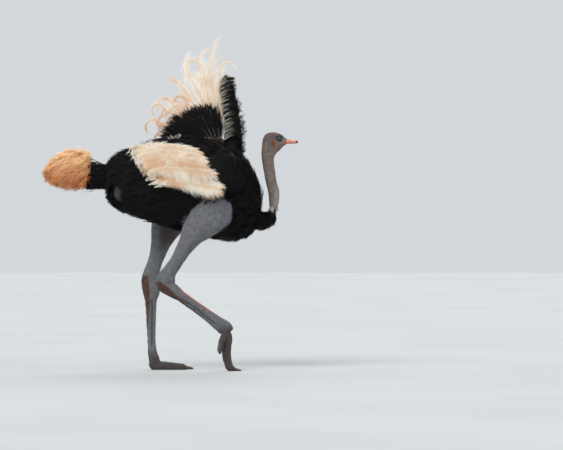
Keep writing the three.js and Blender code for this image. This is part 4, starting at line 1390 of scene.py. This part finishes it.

# %% [markdown]
# ## The skin's markings
# One skin covers head, neck and legs, and each has its own colour. Where each colour lies is worked out
# from the place on the body and kept on the skin as soft masks: the blue-grey round the eye, the rusty ear,
# the coral corner of the mouth, the rusty heels, the flushed front of the shank and the dark skin under the
# coat. Some masks hold painted light: painted shade under the brow, in the ear opening, along the rear of
# the neck, high on the far thigh, in the tendon's groove and on the hanging foot, and painted sunlight on
# the back of the head.

# %% Masks of the skin
def masks(points):
    x, y, z = points.T
    near_leg = ramp(-y, 20, 60)
    far_leg = 1 - near_leg
    over_shank = z - shank_height(x)
    found = {}
    coat_edge = np.interp(z, [985, 1150, 1250, 1300], [616, 612, 580, 565])
    found["neck"] = ramp(z, 985, 1005) * ramp(x - coat_edge, 0, 14)
    found["crown"] = ramp(z - 0.25 * (x - 640), 1395, 1462) * ramp(x, 560, 600)
    # The back of the head is rusty brown, made lighter as painted sunlight.
    found["occiput_rust_and_sunlight"] = ramp(632 - x, 0, 22) * ramp(z, 1330, 1390) * ramp(x, 560, 590)
    found["temple"] = near_both(points, (650, 40, 1415), (11, 30, 46))
    found["blue"] = near_both(points, (716, 38, 1446), (30, 40, 25))
    found["lore"] = near_both(points, (738, 30, 1437), (9, 14, 6))
    # Along the rear of the neck the skin is rustier, and darker as painted shade.
    nape_edge = np.interp(z, [990, 1112, 1240, 1333, 1400, 1500], [668, 668, 640, 628, 634, 640])
    found["nape"] = ramp(nape_edge - x, 0, 26)
    found["throat"] = ramp(1210 - z, 0, 150) * ramp(x, 665, 700)
    # The brow mask is painted shade: dark under the brow ridge, behind the eye and before it.
    found["brow"] = near_both(points, (722, 42, 1464), (20, 16, 7))
    found["brow"] += near_both(points, (692, 42, 1452), (9, 16, 13))
    found["brow"] += 0.8 * near_both(points, (744, 28, 1447), (8, 12, 9))
    on_the_ball = sum(ramp(30 - np.linalg.norm(points - eye_centre(hand), axis=1), 1.2, 3.4)
                      for hand in HANDS.values())
    found["lid"] = on_the_ball * ramp(19.5 - np.hypot(x - EYE[0], z - EYE[2]), 0, 2.5)
    found["gape"] = ramp(x, 727, 735) * ramp(1421 + 0.55 * (x - 729) - z, 0, 4) * ramp(z, 1408, 1413)
    found["ear"] = near_both(points, (677, 40, 1411), (15, 30, 29))
    # The ear opening is darkened as painted shade in its hollow.
    found["ear_opening_shade"] = near_both(points, EAR, (4.5, 30, 7))
    heel_edge = np.interp(z, [320, 420, 520, 600], [-100, -90, -96, -104])
    standing_heel = ramp(heel_edge - x, 0, 12) * ramp(z, 190, 330) * ramp(598 - z, 0, 20) * far_leg
    standing_heel += near(points, (-80, 140, 512), (9, 60, 11)) * far_leg
    heel_edge = np.interp(x, [-40, -10, 31, 94, 150], [20, 18, 14, -6, -18])
    lifted_heel = ramp(heel_edge - over_shank, 0, 16) * ramp(z, 300, 400) * ramp(572 - z, 0, 20)
    lifted_heel = lifted_heel * near_leg * ramp(330 - x, 0, 160)
    found["rust"] = np.clip(standing_heel + lifted_heel, 0, 1)
    found["flush"] = ramp(over_shank, 25, 35) * ramp(x, 95, 140) * ramp(350 - x, 0, 60) * ramp(560 - z, 0, 60)
    found["flush"] *= near_leg
    # High on the far thigh's inner side: brown skin, darkened as painted shade under the body.
    found["inner"] = ramp(x + 60, 0, 50) * ramp(z, 700, 820) * far_leg * ramp(195 - y, 0, 50)
    # The feet are darker: near the floor on both, and over the whole hanging foot as painted shade.
    found["foot"] = np.maximum(ramp(150 - z, 0, 80), ramp(310 - z, 0, 70) * ramp(x, 320, 360))
    # Where winding crease lines carry painted shade: the lower leg, most of all the shin.
    shin = ramp(x - np.interp(z, [530, 743, 860], [0, 116, 200]), -20, 30)
    found["creased"] = ramp(880 - z, 0, 200) * (0.35 + 0.65 * shin)
    # The groove before the tendon is darkened as painted shade.
    found["groove"] = np.clip(tendon_groove(points), 0, 1)
    thigh = thigh_shows(points, "left", 60) | thigh_shows(points, "right", 60)
    found["leg"] = np.where((z < 860) | thigh, 1.0, 0.0) * (1 - found["neck"])
    found["flank"] = np.clip(flank_patch(points) * 1.6, 0, 1)
    return found


skin_masks = masks(corners_of(skin))
for name, values in skin_masks.items():
    skin.data.attributes.new(name, "FLOAT", "POINT").data.foreach_set("value", values.astype(np.float32))
print("skin masks:", ", ".join(skin_masks))

# %% [markdown]
# ## Bare skin
# The neck is brownish with a paler, bluer throat, and the legs are blue-grey and creased into small
# lozenges. The creases are a web of cells in the bump, finer on the neck, and the colour is darker in them
# as painted shade, as it is along winding crease lines on the lower leg.

# %% Bare skin
bare = Finish("bare_skin", Specular_IOR_Level=0.3, Sheen_Weight=0.06, Sheen_Roughness=0.5)
clouds, blotches, grain = bare.noise(38), bare.noise(90, 4), bare.noise(900, 2)
neck_colour = bare.glazed(bare.mixed(paint("#8c7a70"), paint("#aa9b92"), blotches), {
    "#75635a": clouds * 0.5,
    # rear of the neck: rustier brown, and painted shade
    "#6a5143": bare.shade("nape") * (0.5 + 0.4 * blotches),
    "#bdb4b6": bare.shade("throat") * 0.75})
# Winding crease lines on the lower leg, darkened as painted shade.
wrinkles = (1 - bare.wrinkles(60, (1, 1, 0.45)).over(0.0, 0.07)) * bare.shade("creased")
leg_colour = bare.glazed(bare.mixed(paint("#63666c"), paint("#83868c"), clouds * 0.6 + blotches * 0.3), {
    "#7d7370": bare.noise(14, 3, low=0.45, high=0.7) * 0.5,
    "#4b4c50": bare.noise(190, 2, low=0.58, high=0.72) * 0.55,
    "#b4b6ba": bare.noise(260, 2, low=0.64, high=0.74) * 0.5,
    # brown skin, and painted shade high on the far thigh
    "#4a3227": bare.shade("inner") * 0.8,
    # painted shade in the crease lines
    "#44464b": wrinkles * (0.15 + 0.4 * clouds),
    # darker feet: painted shade on the hanging foot, and darker towards the floor
    "#40342f": bare.shade("foot") * 0.85,
    # painted shade in the tendon's groove
    "#332b29": bare.shade("groove") * 0.8,
    "#4d2612": bare.shade("rust") * (0.75 + 0.25 * blotches),
    "#a06a58": bare.shade("flush") * 0.85})
colour = bare.mixed(paint("#0a090a"), leg_colour, bare.shade("leg"))
colour = bare.mixed(colour, paint("#4f443f"), bare.shade("flank"))
colour = bare.glazed(bare.mixed(colour, neck_colour, bare.shade("neck")), {
    "#6b5345": bare.shade("crown") * (0.45 + 0.45 * blotches),
    # rusty brown back of the head, lightened as painted sunlight
    "#9a7055": bare.shade("occiput_rust_and_sunlight") * (0.35 + 0.4 * blotches),
    "#717a82": bare.shade("temple") * 0.7,
    "#7d8892": bare.shade("blue") * (0.6 + 0.3 * grain),
    "#c3ccd2": bare.shade("lore") * 0.8,
    # painted shade under the brow and round the eye
    "#322d2c": bare.shade("brow") * 0.7,
    "#a2502a": (bare.shade("ear") * 1.5).over(0, 1.2) * (0.7 + 0.3 * blotches),
    # painted shade in the ear opening
    "#2a1710": bare.shade("ear_opening_shade"),
    "#d27a62": bare.shade("gape") * 0.9,
    "#1d1a1b": bare.shade("lid")})
creases = bare.cells(190).over(0.0, 0.12)
fine_creases = bare.cells(800).over(0.0, 0.2)
web = creases * bare.shade("leg") + fine_creases * (1 - bare.shade("leg"))
# The skin is darker in the web of creases, as painted shade.
colour = bare.mixed(bare.mixed(colour, paint("#3b3635"), 0.55), colour, 0.45 + 0.55 * web)
under_coat = (1 - bare.shade("leg")) * (1 - bare.shade("neck"))
bare.give("Base Color", colour).give("Roughness", 0.5 + 0.2 * blotches + 0.3 * under_coat)
bare.bump(web * 0.8 + grain * 0.2, 0.003, 0.8).on(skin)

# %% [markdown]
# ## Horn, eyes and claws
# The bill is coral with a black tip and fine growth lines along it, the scutes are flushed on the leg that
# shows and greyer on the other, and the eye is a wet ball with a pale iris, a black pupil and a dark edge.

# %% Horn, eyes and claws
horn = Finish("bill_horn", Roughness=0.42, Specular_IOR_Level=0.45)
x_of = horn.place("X") / MM - float(SHIFT[0] / MM)
z_of = horn.place("Z") / MM
line = z_of - mouth_height(x_of)
mouth = 1 - line.math("ABSOLUTE", line).over(0.4, 2.0)
# The nostrils are darkened as painted shade in their hollows; the mouth line is a dark seam.
nostril = 1 - (((x_of - NOSTRIL[0]) / 7.5) ** 2 + ((z_of - NOSTRIL[2]) / 2.8) ** 2).over(0.4, 1.3)
streaks = horn.noise(160, 3, (0.25, 1, 1))
colour = horn.glazed(horn.mixed(paint("#c9705a"), paint("#e59a80"), streaks), {
    "#b9a08c": horn.noise(70) * 0.25,
    "#a89285": line.over(12, 19) * (1 - x_of.over(770, 800)) * 0.6,
    # dark line of the mouth, and painted shade in the nostrils
    "#4a2a24": mouth * 0.75 + nostril * 0.9,
    "#1e1a1a": (x_of + line * 0.25).over(815, 822)})
horn.give("Base Color", colour).bump(streaks, 0.0008).on(bill_upper, bill_lower)

iris = Finish("wet_eye", Roughness=0.05, Specular_IOR_Level=0.25, Coat_Weight=0.1, Coat_Roughness=0.02)
eye_spot = metres(np.array((EYE[0], 0, EYE[2])))
offset = iris.node("VectorMath", {"operation": "SUBTRACT"}, {0: iris.spot, 1: tuple(eye_spot)})
flat = iris.node("VectorMath", {"operation": "MULTIPLY"}, {0: offset, 1: (1, 0, 1)})
radius = iris.node("VectorMath", {"operation": "LENGTH"}, {0: flat}, "Value") / MM
turned = iris.node("VectorMath", {"operation": "NORMALIZE"}, {0: flat})
rays = iris.node("TexNoise", None, {"Vector": turned, "Scale": 9.0, "Detail": 2.0}).over(0.35, 0.65)
colour = iris.mixed(paint("#4b5153"), paint("#7f898d"), rays)
colour = iris.mixed(colour, paint("#1f1a17"), radius.over(8.0, 11.5))
colour = iris.mixed(paint("#050506"), colour, radius.over(5.4, 6.4))
iris.give("Base Color", colour).on(*eyes)

nail = Finish("claw_horn", Roughness=0.38)
grain = nail.noise(260, 3, (0.2, 1, 1))
nail.give("Base Color", nail.mixed(paint("#2b2521"), paint("#5b4c40"), grain)).bump(grain, 0.0008).on(*claws)

GREY_HORN, FLUSHED_HORN = ("#6d6a6c", "#8d8888"), ("#87584a", "#a9735f")
for piece, foot_top, shades in zip(scutes, (0.1, 0.27), (GREY_HORN, FLUSHED_HORN)):
    scute = Finish("horn_" + piece.name, Roughness=0.45)
    grain = scute.noise(240, 3)
    # Below foot_top the scutes darken: over the hanging right foot as painted shade, on the standing left
    # foot towards the floor.
    above_foot = scute.place("Z").over(foot_top, foot_top + 0.06)
    colour = scute.mixed(paint(shades[0]), paint(shades[1]), grain)
    colour = scute.mixed(paint("#3a3634"), colour, above_foot)
    toward_toes = scute.place("X").over(0.25, 0.3)
    toe_colour = scute.mixed(paint("#5d5a5c"), paint("#7d7877"), grain)
    colour = scute.mixed(colour, toe_colour, toward_toes * above_foot)
    scute.give("Base Color", colour).bump(grain, 0.001).on(piece)
print("horn and eyes:", ", ".join(finish.material.name for finish in (horn, iris, nail, scute)))

# %% [markdown]
# ## Plumage
# The black feathers are not dead black: their barbs carry a faint sheen and turn brown where they wear, and
# the lowest, on the belly, are redder. Pale strands among them are painted highlights on the leading edge
# and, in part, along the coat's edge on the neck, and the coverts' shafts are pale. The white plumes are
# cream with peach quills and paler tips. The tail is cinnamon, paler above and redder below. In each, the
# tint of a strand and its place on the feather vary the colour.

# %% Plumage
black = Finish("black_plumage", Specular_IOR_Level=0.16, Sheen_Weight=0.02, Sheen_Roughness=0.35)
colour = black.glazed(black.mixed(paint("#070708"), paint("#111012"), black.shade("tint")), {
    "#2b211c": black.shade("along").over(0.6, 1) * black.noise(9) * 0.5,
    "#5c3c31": (1 - black.place("Z").over(0.8, 0.84)) * 0.5,
    # pale strands: painted highlights on the leading edge, partly at the neck's coat edge, and pale covert
    # shafts
    "#e9e2d6": black.shade("pale")})
black.give("Base Color", colour).give("Roughness", 0.55 + 0.25 * black.shade("tint"))

cream = Finish("white_plumage", Specular_IOR_Level=0.25, Sheen_Weight=0.1)
warm = 1 - cream.shade("tint")
colour = cream.mixed(paint("#eed9bc"), paint("#fbf5ea"), cream.shade("along").over(0.0, 0.6))
colour = cream.mixed(colour, paint("#d9994f"), warm * cream.noise(9, 3, low=0.38, high=0.66) * 0.85)
colour = cream.mixed(paint("#cd9a64"), colour, cream.shade("place").over(0.0, 0.02))
cream.give("Base Color", colour).give("Roughness", 0.6 + 0.15 * cream.shade("tint"))

cinnamon = Finish("tail_plumage", Specular_IOR_Level=0.25, Sheen_Weight=0.15)
height = cinnamon.place("Z").over(1.16, 1.36)
colour = cinnamon.mixed(paint("#d6742a"), paint("#ffdca6"), height * 0.75 + cinnamon.shade("tint") * 0.25)
colour = cinnamon.mixed(colour, paint("#fbdcb0"), cinnamon.shade("along").over(0.4, 1) * 0.5)
cinnamon.give("Base Color", colour).give("Roughness", 0.6 + 0.2 * cinnamon.shade("tint"))

fluff = Finish("down", Specular_IOR_Level=0.2, Sheen_Weight=0.2)
colour = fluff.mixed(paint("#3f342e"), paint("#85756b"), fluff.shade("tint"))
colour = fluff.mixed(colour, paint("#cfc6bb"), fluff.shade("pale"))
fluff.give("Base Color", colour).give("Roughness", 0.7 + 0.1 * fluff.shade("tint"))

rusty = Finish("ear_rust", Roughness=0.7)
rusty.give("Base Color", rusty.mixed(paint("#7a3d22"), paint("#b87048"), rusty.shade("tint")))
lash = Finish("lash_black", Roughness=0.4)
lash.give("Base Color", lash.mixed(paint("#0b0a0a"), paint("#221c1a"), lash.shade("tint")))
base = Finish("quill_bases", Roughness=0.6)
base.give("Base Color", base.mixed(paint("#86685f"), paint("#f1ece2"), base.shade("tint").over(0.5, 0.8)))

by_slot = {"plume_black": black, "plume_white": cream, "plume_tail": cinnamon, "skin_head": fluff}
by_name = {"ear_tufts": rusty, "quill_bases": base, "lashes": lash}
for coat in coats:
    by_name.get(coat.name, by_slot[coat.slot]).on(coat_pieces[coat.name])
print("plumage:", ", ".join(finish.material.name for finish in [*by_slot.values(), *by_name.values()]))

# %% [markdown]
# ## Stage, light and camera
# The bird is seen in pure profile from its right, from far off and level with its belly. A long lens keeps
# both legs true to size. The floor is pale and plain under a bright sky. A soft sun stands high on the
# camera's side, towards the tail, a weak one fills from the front, and a third comes from behind the bird.

# %% Stage, light and camera
VIEW_WIDE = 3.519  # metres that the view takes in across, at the bird
VIEW_AT = metres(np.array((728.0, 0.0, 906.0)))
LENS, SENSOR = 200.0, 36.0
FLOOR_HALF = 4e4

floor_corners = np.array([(-1, -1, 0), (1, -1, 0), (1, 1, 0), (-1, 1, 0)], float) * FLOOR_HALF
floor = solid("floor", (floor_corners, [[0, 1, 2, 3]]))
pale = Finish("pale_floor", Roughness=0.8)
pale.give("Base Color", pale.mixed(paint("#bbbebf"), paint("#b7babb"), pale.noise(0.6))).on(floor)

world = bpy.data.worlds.new("sky")
world.use_nodes = True
world.node_tree.nodes["Background"].inputs["Color"].default_value = (0.87, 0.91, 0.95, 1)
world.node_tree.nodes["Background"].inputs["Strength"].default_value = 0.75
bpy.context.scene.world = world


def sun(name, place, power, softness, colour):
    """A far, soft light that shines from this place towards the bird."""
    light = bpy.data.lights.new(name, "SUN")
    light.energy, light.angle, light.color = power, np.radians(softness), colour
    made = bpy.data.objects.new(name, light)
    bpy.context.scene.collection.objects.link(made)
    made.location = place
    made.rotation_euler = (-Vector(place)).to_track_quat("-Z", "Y").to_euler()


sun("key", (-3.0, -5.0, 6.0), 2.0, 30, (1.0, 0.97, 0.92))
sun("fill", (5.0, -4.0, 3.0), 0.3, 50, (0.93, 0.97, 1.0))
sun("rim", (1.0, 5.0, 5.0), 0.9, 40, (1.0, 1.0, 1.0))

camera = bpy.data.objects.new("camera", bpy.data.cameras.new("camera"))
bpy.context.scene.collection.objects.link(camera)
camera.data.lens, camera.data.sensor_width = LENS, SENSOR
camera.location = (VIEW_AT[0], VIEW_AT[1] - VIEW_WIDE * LENS / SENSOR, VIEW_AT[2])
camera.rotation_euler = (np.pi / 2, 0, 0)
bpy.context.scene.camera = camera
bpy.context.scene.view_settings.view_transform = "Standard"
print("the camera stands", round(VIEW_WIDE * LENS / SENSOR, 1), "metres away")

# %% [markdown]
# ## Size
# Loose feathers may stand proud of the solids' box, which is printed once more at the end. The
# dressed bird must stay inside the solids' box, apart from what loose feathers may stand proud.

# %% Size, and the end
print("solids", [[round(c, 3) for c in corner] for corner in cad_box])
